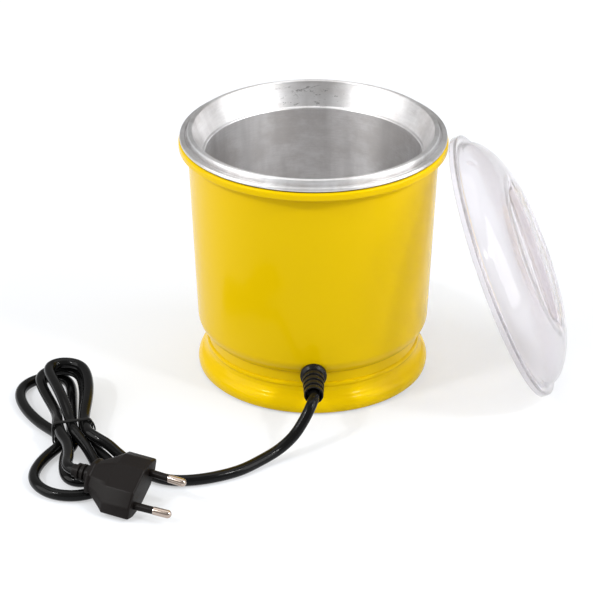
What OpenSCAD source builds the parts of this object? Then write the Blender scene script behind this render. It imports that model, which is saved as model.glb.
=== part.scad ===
// Wax heater for a dental bench: a spun aluminium pot in a painted steel shell,
// its clear lid leaned against it and its mains cord tied in a hank beside it.
// The pot's axis is Z, the table is z = 0, and the cord leaves towards -Y.

/* [Outer shell] */
// Height of the shell's lip above the table
shell_h = 127.4; // [118:0.1:145]
// How far the wall leans outwards from the bottom corner up to the lip
wall_lean = 3.8; // [2:0.1:6]
// How far the rounded bottom corner stands out from the neck
corner_w = 5.2; // [4:0.1:6.5]
// Thickness of the painted sheet
sheet_t = 1.2; // [0.8:0.1:1.6]
// Radius of the rounded bottom corner
corner_r = 11; // [8:0.5:12]
// How far the rolled lip stands out from the wall
lip_w = 4.4; // [3.8:0.1:6]
// Height of the lip's turned-down edge
lip_h = 4; // [3:0.1:6]
// Outer radius of the neck that stands in the foot
neck_r = 54.5; // [53:0.1:55]
// Height of the straight neck
neck_h = 6.7; // [5:0.1:9]

/* [Foot] */
// Height of the foot's flange above the table
foot_h = 15; // [14:0.1:22]
// How far the flared foot stands out from the neck
flare_w = 5.4; // [4.5:0.1:7]
// Radius of the flare's curve
flare_r = 7; // [5:0.5:8]
// Height of the flare's centre above the table
flare_z = 3.5; // [3:0.1:4.5]
// Gap between the foot's edge and the table
edge_gap = 0.8; // [0.4:0.1:1.2]
// Width of the shell's and the foot's inner flanges
flange_w = 10.5; // [10:0.1:12]
// Height of the foot's bead round the neck
bead_h = 1; // [0.5:0.1:2]
// Width of the foot's bead round the neck
bead_w = 0.9; // [0.6:0.1:1.5]

/* [Aluminium pot] */
// Wall of the pot
pot_t = 1.5; // [1:0.1:2]
// Clear width of the jacket between the pot and the shell
jacket_w = 5.6; // [5.2:0.1:8]
// Height of the pot's inside floor above the table
pot_floor = 42; // [41:0.5:60]
// Inside radius of the pot's bottom corner
pot_corner_r = 8; // [5:0.5:10]
// Depth of the ledge below the shell's lip
ledge_depth = 7.9; // [6:0.1:12]
// Width of the ledge
ledge_w = 1.2; // [0.6:0.1:1.8]
// Height of the raised rim ring above the shell's lip
rim_h = 5.2; // [4:0.1:8]
// Width of the raised rim ring
rim_w = 3; // [2:0.1:3.6]
// Height of the bead at the flange's edge
flange_h = 1.8; // [1.4:0.1:2.6]
// Thickness of the gasket under the flange
gasket_t = 0.6; // [0.4:0.1:1.5]

/* [Heater] */
// How far the heating element stays inside the pot's flat bottom
heater_inset = 1.2; // [0.8:0.1:3]
// Thickness of the heating element
heater_t = 3.5; // [2:0.1:5]
// Thickness of the insulation disc under the element
disc_t = 6; // [4:0.1:7]
// Thickness of the heat shield
shield_t = 1; // [0.8:0.1:1.5]
// Diameter of the centre stud
stud_d = 6; // [5:0.5:8]
// Thickness of the jacket's fibre wrap
wrap_t = 3.8; // [2:0.1:4.2]
// Thickness of the straps round the wrap
strap_t = 0.5; // [0.3:0.1:0.8]
// Thickness of the bridge under the foot's flange
bridge_t = 2; // [1.5:0.1:2.5]
// Width of the bridge
bridge_w = 26; // [22:0.5:32]
// Diameter of the thermostat's cap
stat_d = 16; // [14:0.5:17]

/* [Bottom cover] */
// Height of the cover's underside above the table
cover_z = 3; // [2.8:0.1:4]
// Thickness of the cover
cover_t = 1.2; // [0.8:0.1:1.6]
// Diameter of the cover's screws
cover_screw_d = 4; // [3:0.1:5]
// Diameter of a rubber foot
pad_d = 14; // [10:0.5:18]
// Number of rubber feet
pads = 4; // [3:1:6]
// Number of vent slots in the cover
vents = 12; // [6:1:16]

/* [Cord and its boot] */
// Diameter of the mains cord
cord_d = 5.5; // [4.5:0.1:5.5]
// Height of the boot's axis above the table
boot_z = 23.5; // [22.5:0.1:26]
// Length of the boot outside the shell
boot_l = 20; // [20:0.5:30]
// Diameter of the boot's flange
boot_flange_d = 13.4; // [12:0.1:15]
// Thickness of the boot's flange
boot_flange_t = 2.6; // [1.5:0.1:4]
// Diameter of the boot's ribs beside the flange
boot_big_d = 11; // [10.2:0.1:12]
// Diameter of the boot's last rib
boot_end_d = 9.7; // [9:0.1:10.2]
// Number of ribs on the boot
boot_ribs = 4; // [2:1:6]

/* [Lid] */
// Outer radius of the lid's brim
lid_r = 69.5; // [68.5:0.1:72]
// Wall of the lid
lid_t = 1.6; // [1.2:0.1:2]
// Wall of the lid's brim
brim_t = 1.3; // [1:0.1:1.6]
// Height of the lid's brim
brim_h = 4; // [3:0.1:6]
// How far the brim stands out from the dome
brim_w = 3.9; // [3.4:0.1:5]
// Rise of the dome above the brim
dome_h = 19.7; // [17:0.1:26]
// Radius of the round recess in the dome
recess_r = 36; // [28:0.5:42]
// Height of the recess's floor above the brim's edge
recess_z = 14; // [11:0.1:16]
// Width of the grip bar across the recess
bar_w = 9; // [7:0.1:12]
// Angle of the grip bar in the lid
bar_a = -24.4; // [-40:0.1:40]
// Tilt of the leaned lid from level
lid_tilt = 66.6; // [60:0.1:75]
// Turn of the leaned lid about Z
lid_turn = -4.2; // [-10:0.1:10]
// Place of the leaned lid along Y
lid_y = -19.1; // [-25:0.1:0]

/* [Plug] */
// Width of the plug's body
plug_w = 35; // [30:0.1:36]
// Thickness of the plug's body
plug_t = 13.8; // [12:0.1:15]
// Length of the plug's straight part
plug_l = 15; // [12:0.5:18]
// Length of the plug's tapered part
plug_taper_l = 12; // [8:0.5:14]
// Diameter of a pin's metal end
pin_d = 4; // [3.6:0.1:4.8]
// Length of a pin outside the plug
pin_l = 19; // [17:0.1:19]
// Length of the sleeve on a pin
sleeve_l = 10; // [8:0.1:11]
// Distance between the pins where they leave the plug
pin_gap = 18.6; // [17:0.1:19]
// Distance between the pins at their ends
pin_tip_gap = 17.5; // [16:0.1:18.6]

/* [Hidden] */
$fn = 96;

// Clearance of a piece that slips over or into another
fit = 0.1;
// Clearance of a screw in a hole that it passes through
slip = 0.4;
// Play between the lid and the lip that it leans on
lean_gap = 0.3;
// How far a screw's tip stands past the shield, and the room for it in the disc
tip_l = 1.5;
tip_room = 2;
// Steps in a quarter of a rounded profile
arc_n = 8;

// Colours
yellow = "#E3BC02";
aluminium = "#C9CBCD";
steel = "#A9ADB1";
black = "#1B1B1C";
brass = "#C6A24A";
fibre = "#E9E6DC";

// Radii and heights that follow from the shell's sizes
wall_low_r = neck_r + corner_w;
wall_top_r = wall_low_r + wall_lean;
foot_r = neck_r + flare_w;
throat_r = neck_r - flange_w;
corner_cr = wall_low_r - corner_r;
neck_a = acos((neck_r - corner_cr) / corner_r);
corner_z = foot_h + neck_h + corner_r * sin(neck_a);
lip_r = wall_top_r + lip_w;
flange_top = foot_h + sheet_t;
flange_low = foot_h - sheet_t;
function wall_r(z) = wall_low_r + (wall_top_r - wall_low_r) * (z - corner_z) / (shell_h - corner_z);

// Radii and heights of the pot
function pot_out(z) = wall_r(z) - sheet_t - jacket_w;
function pot_in(z) = pot_out(z) - pot_t;
pot_bottom = pot_floor - pot_t;
pot_flat_r = pot_in(pot_floor + pot_corner_r) - pot_corner_r;
flange_z = shell_h + gasket_t;
rim_top = shell_h + rim_h;
rim_in = wall_top_r - sheet_t - 1.8;
ledge_z = shell_h - ledge_depth;
ledge_rise = 0.7;
funnel_low = pot_in(ledge_z) + ledge_w;
funnel_z = ledge_z + ledge_rise;
funnel_top = rim_top - rim_w / 2;
funnel_slope = (rim_in - funnel_low) / (funnel_top - funnel_z);
function funnel_out(z) = funnel_low + funnel_slope * (z - funnel_z) + pot_t * sqrt(1 + pow(funnel_slope, 2));
flange_r = lip_r - 0.4;

// Radii and heights in the stack under the pot
heater_r = pot_flat_r - heater_inset;
disc_top = pot_bottom - heater_t;
shield_top = disc_top - disc_t;
shield_low = shield_top - shield_t;
shield_r = heater_r + 4;
bridge_low = flange_low - bridge_t;
washer_t = 1.2;
nut_t = 5;
nut_d = 11.5;
stud_head_r = 8;
stud_low = bridge_low - washer_t - nut_t - 0.6;
wrap_low = pot_floor + pot_corner_r + 4;
wrap_top = ledge_z - 8;

// The cover's nuts, and the places of its screws, vents and feet
cover_nut_t = 2.8;
cover_screw_ring = throat_r + 4;
pad_ring = throat_r + 3;
pad_stem_d = 5;
vent_ring = throat_r - 16;
vent_l = 14;
vent_w = 3;

// Places of the pieces under the shield, and the small screws that hold them
stack_r = heater_r - 15;
stat_y = stack_r;
stat_body_d = stat_d - 4;
stat_body_l = 6;
bracket_t = 1;
bracket_w = stat_d;
bracket_l = 2.25 * stat_d;
blade_x = 3.5;
blade_w = 6;
blade_low = shield_low - stat_body_l - 7;
post_a = stack_r * [1, 0.93];
post_b = stack_r * [-0.93, -0.57];
post_low = shield_low - 3;
small_d = 3;
small_head_d = 1.85 * small_d;
fuse_x = -0.93 * stack_r;
fuse_y = 0.5 * stack_r;
fuse_d = 3.8;
fuse_l = 12;
fuse_tail = 6;
fuse_screw_x = 7;
fuse_z = shield_low - 1 - fuse_d / 2 - 1;

// Terminal block on the bridge
block_size = [24, 16, 12];
block_x = throat_r - block_size[0] / 2 - 6;
pole_gap = 12;
pole_z = flange_low + block_size[2] / 2;
insert_d = 5;
insert_bore = 2.8;
block_front = -block_size[1] / 2 - fit;
pole_l = block_x - pole_gap / 2;
pole_n = block_x + pole_gap / 2;

// The cord's clamp inside the shell
saddle_y = -throat_r - 2.5;
saddle_w = 20;
saddle_l = 6;
saddle_gap = 0.4;
saddle_screw_x = 6.4;
clamp_top = boot_z + cord_d / 2 + 1.2;

// The boot along its axis, from the shell's wall outwards
boot_seat_y = wall_low_r + 0.3;
boot_neck_d = 9.2;
boot_bore = cord_d + 2 * fit;
boot_cup_d = 8;
boot_cup = 4;
boot_in_y = boot_seat_y - 9;
boot_snap_d = 11;
lead_start_y = boot_seat_y + boot_l - boot_cup;
lead_in_y = throat_r - 5;
core_d = 2.4;
core_x = 1.35;

// The plug's frame: its X runs out along the pins
plug_at = [-81, -145, 10.4];
plug_turn = [29, 2, -24];
plug_guard_l = 4.5;
plug_back = plug_l + plug_taper_l + plug_guard_l;
pin_lean = atan((pin_gap - pin_tip_gap) / 2 / pin_l);
pin_core_d = 3;
pin_root = 8;

// The hank's waist: its centre, the way its strands run and their places there
waist = [-119, -87];
waist_a = 104.5;
strand_gap = 6.6;
floor_z = 2.75;
low_z = 3.75;
high_z = 9.95;
waist_half = 6;
loop_steps = 2;

// Points that the free cord follows from the boot's cup to the hank
lead_route = [
    [0, -76, 23.5], [0, -80, 23.5], [0, -82, 23.4], [-1.5, -87, 21.5], [-5, -91.5, 16], [-10, -96, 10],
    [-17, -101, 5.5], [-26, -108, 3.4], [-36, -116, 2.75], [-48, -122, 2.75], [-60, -125, 2.75],
    [-70, -124.5, 2.75], [-79, -120, 2.75], [-86, -113, 2.75], [-91.3, -107.2, 3.2], [-95.9, -103.6, 5.2],
    [-100.4, -100.4, 7.7], [-104.8, -97.8, 9.2], [-108.6, -94.7, 9.9]
];

// Points that follow a rule
function arc(c, r, a0, a1, n) = [
    for (i = [0:n]) let (a = a0 + (a1 - a0) * i / n) c + r * [cos(a), sin(a)]
];
function ellipse(a, b, z, n) = [for (i = [0:n]) [a * cos(90 * i / n), z + b * sin(90 * i / n)]];
function unit(v) = v / norm(v);
function turned(v, a) = [v[0] * cos(a) - v[1] * sin(a), v[0] * sin(a) + v[1] * cos(a)];

// A smooth curve near a row of control points, and one through them
function near_pt(a, b, c, d, t) = (pow(1 - t, 3) * a + (3 * pow(t, 3) - 6 * pow(t, 2) + 4) * b
    + (1 + 3 * t + 3 * pow(t, 2) - 3 * pow(t, 3)) * c + pow(t, 3) * d) / 6;
function near(p, n) = concat(
    [for (i = [0:len(p) - 4], k = [0:n - 1]) near_pt(p[i], p[i + 1], p[i + 2], p[i + 3], k / n)],
    [near_pt(p[len(p) - 4], p[len(p) - 3], p[len(p) - 2], p[len(p) - 1], 1)]
);
function through_pt(a, b, c, d, t) = b + t * (c - a) / 2
    + pow(t, 2) * (a - 2.5 * b + 2 * c - d / 2) + pow(t, 3) * (1.5 * (b - c) + (d - a) / 2);
function through(p, n) = let (
    m = len(p) - 1,
    q = concat([2 * p[0] - p[1]], p, [2 * p[m] - p[m - 1]])
) concat([for (i = [0:m - 1], k = [0:n - 1]) through_pt(q[i], q[i + 1], q[i + 2], q[i + 3], k / n)], [p[m]]);

// The direction of a path at point i, and a side of it carried along without twist
function heading(p, i) = unit(p[min(i + 1, len(p) - 1)] - p[max(i - 1, 0)]);
function squared(v, t) = unit(v - (v * t) * t);
function sides(p, first) = [
    for (i = 0, v = squared(first, heading(p, 0)); i < len(p);
        i = i + 1, v = squared(v, heading(p, min(i, len(p) - 1)))) v
];

// The cord's place at the waist: column -1 to 1, row 0 or 1, distance along the bundle
function slot(col, row, along) = let (
    xy = waist + along * [cos(waist_a), sin(waist_a)] + col * strand_gap * [sin(waist_a), -cos(waist_a)]
) [xy[0], xy[1], row == 0 ? low_z : high_z];
function pass(col, row, way) = [for (k = [-1, 0, 1]) slot(col, row, way * k * waist_half)];

// A teardrop loop that leaves the waist at one slot and comes back at another: two points up
// each side and five round its end, which lean further over as they leave the waist
function loop(aim, lean, reach, width, side, z) = let (
    c = reach - width / 2,
    tip = [for (a = [80, 40, 0, -40, -80]) [c, 0] + 0.54 * width * [cos(a), sin(a)]],
    way = concat(
        [[0.38 * c, 0.3 * width], [0.72 * c, 0.46 * width]], tip,
        [[0.72 * c, -0.46 * width], [0.38 * c, -0.3 * width]]
    )
) [
    for (k = [0:len(way) - 1]) let (
        xy = waist + turned([way[k][0], -side * way[k][1]], aim + lean * way[k][0] / reach)
    ) [xy[0], xy[1], z[k]]
];

// Each loop: the way it points and leans, its length, its width, the side it leaves by and its heights
upper_far = loop(85, 15, 56, 18, 1, [11.4, 13.2, 14.9, 14.9, 14.9, 14.9, 14.9, 14.6, 13.4]);
upper_mid = loop(96.5, 6, 60, 21, 1, [5, 7, 8.8, 8.8, 8.8, 8.8, 8.8, 7.6, 7]);
upper_low = loop(123, -15, 64, 27, 1, [for (k = [0:8]) floor_z]);
lower_in = loop(-80, 3, 40, 16, -1, [6.5, 4.2, 3, 2.75, 2.75, 2.75, 2.75, 2.75, 2.75]);
lower_out = loop(-84.2, 0, 52, 39, 1, [for (k = [0:8]) floor_z]);

// The cord's way through the hank, from the end of its free lead to the plug's guard
plug_end = plug_point([-plug_back, 0, 0]);
plug_way = plug_point([-plug_back - 1, 0, 0]) - plug_end;
tail_route = [[-120.5, -101, 9.9], [-119, -109, 9.9], [-118.5, -117, 10.2], [-119, -124.5, 10.8]];
hank_route = concat(
    [for (k = [-1, 0, 1]) slot(1, 1, k * waist_half)], upper_far, pass(0, 1, -1), lower_in, pass(0, 0, 1),
    upper_low, pass(-1, 0, -1), lower_out, pass(1, 0, 1), upper_mid, pass(-1, 1, -1), tail_route,
    [for (d = [cord_d, 0, -cord_d]) plug_end + d * plug_way]
);
hank_line = near(hank_route, loop_steps);
lead_line = concat(lead_route, [slot(1, 1, -cord_d), slot(1, 1, 0)]);

function rot_x(p, a) = [p[0], p[1] * cos(a) - p[2] * sin(a), p[1] * sin(a) + p[2] * cos(a)];
function rot_y(p, a) = [p[0] * cos(a) + p[2] * sin(a), p[1], p[2] * cos(a) - p[0] * sin(a)];
function rot_z(p, a) = [p[0] * cos(a) - p[1] * sin(a), p[0] * sin(a) + p[1] * cos(a), p[2]];
function plug_point(p) = plug_at + rot_z(rot_y(rot_x(p, plug_turn[0]), plug_turn[1]), plug_turn[2]);

// The lengths of the two stretches, and the hank's least gap between strands
function length_of(p) = len(p) < 2 ? 0 : sum_of([for (i = [1:len(p) - 1]) norm(p[i] - p[i - 1])]);
function sum_of(v) = [for (i = 0, s = v[0]; i < len(v); i = i + 1, s = s + (i < len(v) ? v[i] : 0)) s][len(v) - 1];
hank_gap = min([
    for (i = [0:len(hank_line) - 1]) let (
        far = [for (j = [i + 5:1:len(hank_line) - 1]) norm(hank_line[i] - hank_line[j])]
    ) if (len(far) > 0) min(far)
]) - cord_d;
echo(lead_length = length_of(lead_line), hank_length = length_of(hank_line), hank_gap = hank_gap);

// The heater's outer radius at a height, and the least distance along X at which the edges
// of the leaned lid's brim clear it
function stop_r(z) = z > rim_top ? 0 : z > shell_h + 2 ? wall_top_r : z > shell_h - lip_h ? lip_r : wall_r(z);
dome_r = lid_r - brim_w;
lid_z = lid_r * sin(lid_tilt);
lid_x = max([
    for (a = [120:2:240], r = [lid_r, lid_r - brim_t]) let (
        edge = rot_z(rot_y([r * cos(a), r * sin(a), 0], lid_tilt), lid_turn),
        far = pow(stop_r(lid_z + edge[2]) + lean_gap, 2) - pow(lid_y + edge[1], 2)
    ) sqrt(max(0, far)) - edge[0]
]);

// A round tube along a path, its ends square
module tube(p, d, n, first = [0, 0, 1]) {
    v = sides(p, first);
    ends = len(p) - 1;
    points = [
        for (i = [0:ends], k = [0:n - 1]) let (w = cross(heading(p, i), v[i]))
        p[i] + d / 2 * (cos(360 * k / n) * v[i] + sin(360 * k / n) * w)
    ];
    skin = [
        for (i = [0:ends - 1], k = [0:n - 1]) let (a = i * n + k, b = i * n + (k + 1) % n)
        each [[a, a + n, b], [b, a + n, b + n]]
    ];
    caps = [
        for (k = [1:n - 2]) each [[0, k, k + 1], [ends * n, ends * n + k + 1, ends * n + k]]
    ];
    polyhedron(points, concat(skin, caps), convexity = 10);
}

module ring_of(n, r, a = 0) {
    for (i = [0:n - 1]) rotate(a + 360 * i / n) translate([r, 0, 0]) children();
}

module washer(od, id, t) {
    difference() {
        cylinder(d = od, h = t);
        translate([0, 0, -1]) cylinder(d = id, h = t + 2);
    }
}

module nut(across, id, t) {
    difference() {
        cylinder(d = across, h = t, $fn = 6);
        translate([0, 0, -1]) cylinder(d = id, h = t + 2);
    }
}

// A pan-head screw that points up from its head's seat at z = 0
module screw(d, l, head_d, head_h) {
    translate([0, 0, -head_h]) cylinder(d1 = head_d - 1, d2 = head_d, h = head_h);
    cylinder(d = d, h = l);
}

module boot_frame() {
    translate([0, 0, boot_z]) rotate([90, 0, 0]) children();
}

module shell_outside(grow = 0) {
    rotate_extrude() polygon(concat(
        [[0, foot_h], [neck_r + grow, foot_h]],
        arc([corner_cr, corner_z], corner_r + grow, -neck_a, 0, arc_n),
        [[wall_top_r + grow, shell_h], [0, shell_h]]
    ));
}

module cover_holes(d, z, h) {
    ring_of(4, cover_screw_ring, 45) translate([0, 0, z]) cylinder(d = d, h = h);
}

module body_shell() {
    hem_r = lip_r - sheet_t;
    color(yellow) difference() {
        rotate_extrude() polygon(concat(
            [[throat_r, flange_top], [throat_r, foot_h], [neck_r - 0.8, foot_h], [neck_r, foot_h + 0.8]],
            arc([corner_cr, corner_z], corner_r, -neck_a, 0, arc_n),
            [[wall_r(shell_h - sheet_t), shell_h - sheet_t], [hem_r - 0.2, shell_h - sheet_t]],
            [[hem_r, shell_h - sheet_t - 0.2], [hem_r, shell_h - lip_h]],
            [[lip_r - 0.3, shell_h - lip_h], [lip_r, shell_h - lip_h + 0.5], [lip_r, shell_h - 1.2]],
            [[lip_r - 0.4, shell_h - 0.4], [lip_r - 1.2, shell_h], [wall_top_r - sheet_t + 0.3, shell_h]],
            [[wall_r(shell_h) - sheet_t, shell_h - 0.4]],
            arc([corner_cr, corner_z], corner_r - sheet_t, 0, -neck_a, arc_n),
            [[neck_r - sheet_t, flange_top]]
        ));
        boot_frame() cylinder(d = boot_neck_d + slip, h = boot_seat_y + 5);
        cover_holes(cover_screw_d + slip, foot_h - 1, sheet_t + 2);
        saddle_holes();
    }
}

module base_ring() {
    rim_in_r = neck_r + 2 * fit;
    rim_out_r = rim_in_r + bead_w;
    waist_r = neck_r + 0.3;
    flare = [foot_r - flare_r, flare_z];
    color(yellow) difference() {
        rotate_extrude() polygon(concat(
            [[throat_r, flange_low], [throat_r, foot_h], [rim_in_r, foot_h], [rim_in_r, foot_h + bead_h]],
            [[rim_out_r - 0.3, foot_h + bead_h], [rim_out_r, foot_h + bead_h - 0.3]],
            [[rim_out_r, foot_h - 0.3], [waist_r, foot_h - 1.5]],
            arc(flare, flare_r, 60, 0, arc_n),
            [[foot_r - 0.4, (flare_z + edge_gap) / 2 - 0.7], [foot_r - 1.2, edge_gap]],
            [[foot_r - sheet_t - 1.2, edge_gap], [foot_r - sheet_t - 0.3, (flare_z + edge_gap) / 2]],
            arc(flare, flare_r - sheet_t, 0, 60, arc_n),
            [[waist_r - sheet_t, foot_h - 1.9], [waist_r - sheet_t, flange_low]]
        ));
        cover_holes(cover_screw_d + slip, flange_low - 1, sheet_t + 2);
        saddle_holes();
    }
}

module bottom_cover() {
    cover_r = foot_r - sheet_t - 1.6;
    color(steel) difference() {
        union() {
            translate([0, 0, cover_z]) cylinder(r = cover_r - 0.8, h = cover_t);
            translate([0, 0, cover_z + 0.3]) washer(2 * cover_r, 2 * cover_r - 1.8, cover_t + 2.2);
        }
        cover_holes(cover_screw_d + slip, cover_z - 1, cover_t + 2);
        ring_of(pads, pad_ring, 0) translate([0, 0, cover_z - 1]) cylinder(d = pad_stem_d + 2 * fit, h = cover_t + 2);
        ring_of(vents, vent_ring, 180 / vents) {
            translate([-vent_l / 2, -vent_w / 2, cover_z - 1]) cube([vent_l, vent_w, cover_t + 2]);
            for (x = [-1, 1]) translate([x * vent_l / 2, 0, cover_z - 1]) cylinder(d = vent_w, h = cover_t + 2);
        }
    }
}

module rubber_feet() {
    color(black) ring_of(pads, pad_ring, 0) {
        cylinder(d1 = pad_d - 1.6, d2 = pad_d, h = cover_z);
        cylinder(d = pad_stem_d, h = cover_z + cover_t + 1);
        translate([0, 0, cover_z + cover_t + fit / 2]) cylinder(d1 = pad_stem_d + 1.8, d2 = pad_stem_d - 1, h = 2.4);
    }
}

module cover_screws() {
    color(steel) ring_of(4, cover_screw_ring, 45) translate([0, 0, cover_z])
        screw(cover_screw_d, flange_top - cover_z + cover_nut_t + 0.6, cover_screw_d * 1.8, cover_z - 0.8);
}

module cover_spacers() {
    color(steel) ring_of(4, cover_screw_ring, 45) translate([0, 0, cover_z + cover_t])
        washer(2 * cover_screw_d, cover_screw_d + slip, flange_low - cover_z - cover_t);
}

module cover_nuts() {
    color(steel) ring_of(4, cover_screw_ring, 45) translate([0, 0, flange_top])
        nut(cover_screw_d * 1.85, cover_screw_d + fit, cover_nut_t);
}

module inner_pot() {
    corner_top = pot_floor + pot_corner_r;
    corner_c = [pot_in(corner_top) - pot_corner_r, corner_top];
    rim_c = [rim_in + rim_w / 2, rim_top - rim_w / 2];
    groove_r = rim_in + rim_w + 0.2;
    bead_c = (groove_r + 0.6 + flange_r) / 2;
    color(aluminium) rotate_extrude() polygon(concat(
        [[0, pot_floor]],
        arc(corner_c, pot_corner_r, -90, 0, arc_n),
        [[pot_in(ledge_z), ledge_z], [funnel_low, funnel_z]],
        arc(rim_c, rim_w / 2, 180, 0, 2 * arc_n),
        [[rim_in + rim_w, flange_z + 1.2], [groove_r, flange_z + 1], [groove_r + 0.6, flange_z + 1.2]],
        [[groove_r + 1.2, flange_z + flange_h - 0.2], [bead_c, flange_z + flange_h]],
        [[flange_r - 0.8, flange_z + flange_h - 0.2], [flange_r, flange_z + 0.9], [flange_r - 0.3, flange_z]],
        [[funnel_out(flange_z), flange_z], [funnel_low + 1.07 * pot_t, funnel_z - 0.6]],
        [[pot_out(ledge_z), ledge_z - 0.6]],
        arc(corner_c, pot_corner_r + pot_t, 0, -90, arc_n),
        [[0, pot_bottom]]
    ));
}

module rim_gasket() {
    color(black) translate([0, 0, shell_h])
        washer(2 * (lip_r - 1.4), 2 * (wall_top_r - sheet_t - 0.3), gasket_t);
}

module stack_holes(z, h, centre_d) {
    translate([0, 0, z]) cylinder(d = centre_d, h = h);
    translate([0, stat_y, z]) cylinder(d = stat_d + 1, h = h);
}

module post_holes(d, z, h) {
    for (p = [post_a, post_b]) translate([p[0], p[1], z]) cylinder(d = d, h = h);
}

module heater_plate() {
    color(steel) difference() {
        union() {
            translate([0, 0, disc_top]) cylinder(r = heater_r, h = heater_t);
            post_holes(small_d, post_low, disc_top - post_low + 1);
        }
        stack_holes(disc_top - 1, heater_t + 2, 2 * stud_head_r + 1);
    }
}

module insulation_disc() {
    color(fibre) difference() {
        translate([0, 0, shield_top]) cylinder(r = heater_r + 3, h = disc_t);
        stack_holes(shield_top - 1, disc_t + 2, stud_d + 1);
        post_holes(small_d + 1, shield_top - 1, disc_t + 2);
        bracket_holes(shield_top - 1, tip_room + 1, small_d + 2 * slip);
        translate([fuse_x + fuse_screw_x, fuse_y, shield_top - 1])
            cylinder(d = small_d + 2 * slip, h = tip_room + 1);
    }
}

module heat_shield() {
    color(steel) difference() {
        union() {
            translate([0, 0, shield_low]) cylinder(r = shield_r, h = shield_t);
            translate([0, 0, shield_low]) washer(2 * shield_r, 2 * (heater_r + 3 + fit), disc_t);
        }
        stack_holes(shield_low - 1, shield_t + 2, stud_d + slip);
        post_holes(2 * small_d, shield_low - 1, shield_t + 2);
        bracket_holes(shield_low - 1, shield_t + 2);
        translate([fuse_x + fuse_screw_x, fuse_y, shield_low - 1]) cylinder(d = small_d + fit, h = shield_t + 2);
    }
}

module centre_stud() {
    color(steel) {
        translate([0, 0, pot_bottom - 1.2]) cylinder(r = stud_head_r, h = 1.2);
        translate([0, 0, stud_low]) cylinder(d = stud_d, h = pot_bottom - stud_low);
    }
}

module shield_washer() {
    color(steel) translate([0, 0, shield_low - washer_t]) washer(3 * stud_d, stud_d + slip, washer_t);
}

module shield_nut() {
    color(steel) translate([0, 0, shield_low - washer_t - nut_t]) nut(stud_d / 6 * nut_d, stud_d + fit, nut_t);
}

module support_bridge() {
    rib_l = 2 * (throat_r - 9);
    rib_t = 1.5;
    color(steel) difference() {
        union() {
            intersection() {
                translate([-neck_r, -bridge_w / 2, bridge_low]) cube([2 * neck_r, bridge_w, bridge_t]);
                cylinder(r = neck_r - sheet_t - 2.3, h = foot_h);
            }
            for (y = [-1, 1]) translate([-rib_l / 2, y * (bridge_w - rib_t) / 2 - rib_t / 2, bridge_low - 2 * bridge_t])
                cube([rib_l, rib_t, 2.5 * bridge_t]);
        }
        translate([0, 0, bridge_low - 1]) cylinder(d = stud_d + slip, h = bridge_t + 2);
        translate([block_x, 0, bridge_low - 1]) cylinder(d = small_d + fit, h = bridge_t + 2);
    }
}

module bridge_washer() {
    color(steel) translate([0, 0, bridge_low - washer_t]) washer(3 * stud_d, stud_d + slip, washer_t);
}

module bridge_nut() {
    color(steel) translate([0, 0, bridge_low - washer_t - nut_t]) nut(stud_d / 6 * nut_d, stud_d + fit, nut_t);
}

module jacket_layer(a, t, z0, z1) {
    rotate_extrude() polygon([
        [pot_out(z0) + a, z0], [pot_out(z0) + a + t, z0], [pot_out(z1) + a + t, z1], [pot_out(z1) + a, z1]
    ]);
}

module insulation_wrap() {
    color(fibre) jacket_layer(fit, wrap_t, wrap_low, wrap_top);
}

module wrap_straps() {
    step = (wrap_top - wrap_low) / 4;
    color(steel) for (z = [wrap_low + step, wrap_top - step])
        jacket_layer(2 * fit + wrap_t, strap_t, z - 4, z + 4);
}

module thermostat() {
    color(black) translate([0, stat_y, 0]) {
        translate([0, 0, shield_low]) cylinder(d = stat_d, h = pot_bottom - shield_low - fit);
        translate([0, 0, shield_low - stat_body_l]) cylinder(d = stat_body_d, h = stat_body_l + 1);
        for (x = [-1, 1]) translate([x * blade_x - 0.4, -blade_w / 2, blade_low])
            cube([0.8, blade_w, shield_low - stat_body_l - blade_low + 1]);
    }
}

module bracket_holes(z, h, d = small_d + fit) {
    for (x = [-1, 1]) translate([x * (bracket_l - bracket_w / 2) / 2, stat_y, z]) cylinder(d = d, h = h);
}

module thermostat_bracket() {
    color(steel) difference() {
        translate([-bracket_l / 2, stat_y - bracket_w / 2, shield_low - bracket_t])
            cube([bracket_l, bracket_w, bracket_t]);
        translate([0, stat_y, shield_low - 2]) cylinder(d = stat_body_d + slip, h = 3);
        bracket_holes(shield_low - 2, 3);
    }
}

module bracket_screws() {
    color(steel) for (x = [-1, 1])
        translate([x * (bracket_l - bracket_w / 2) / 2, stat_y, shield_low - bracket_t])
            screw(small_d, bracket_t + shield_t + tip_l, small_head_d, 2);
}

module thermal_fuse() {
    color(aluminium) translate([fuse_x, fuse_y, fuse_z]) rotate([90, 0, 0]) {
        cylinder(d = fuse_d, h = fuse_l, center = true);
        cylinder(d = 1.2, h = fuse_l + 2 * fuse_tail, center = true);
    }
}

module fuse_clip() {
    clip_d = fuse_d + 2 * fit + 2;
    color(steel) difference() {
        union() {
            translate([fuse_x, fuse_y, fuse_z]) rotate([90, 0, 0]) cylinder(d = clip_d, h = 5, center = true);
            translate([fuse_x, fuse_y - 2.5, shield_low - 1]) cube([fuse_screw_x + 3.5, 5, 1]);
        }
        translate([fuse_x, fuse_y, fuse_z]) rotate([90, 0, 0]) cylinder(d = fuse_d + 2 * fit, h = 7, center = true);
        translate([fuse_x + fuse_screw_x, fuse_y, shield_low - 2]) cylinder(d = small_d + fit, h = 3);
    }
}

module fuse_screw() {
    color(steel) translate([fuse_x + fuse_screw_x, fuse_y, shield_low - 1])
        screw(small_d, 1 + shield_t + tip_l, small_head_d - 0.4, 1.8);
}

module poles() {
    for (x = [-1, 1]) translate([block_x + x * pole_gap / 2, 0, pole_z]) rotate([90, 0, 0]) children();
}

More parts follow.
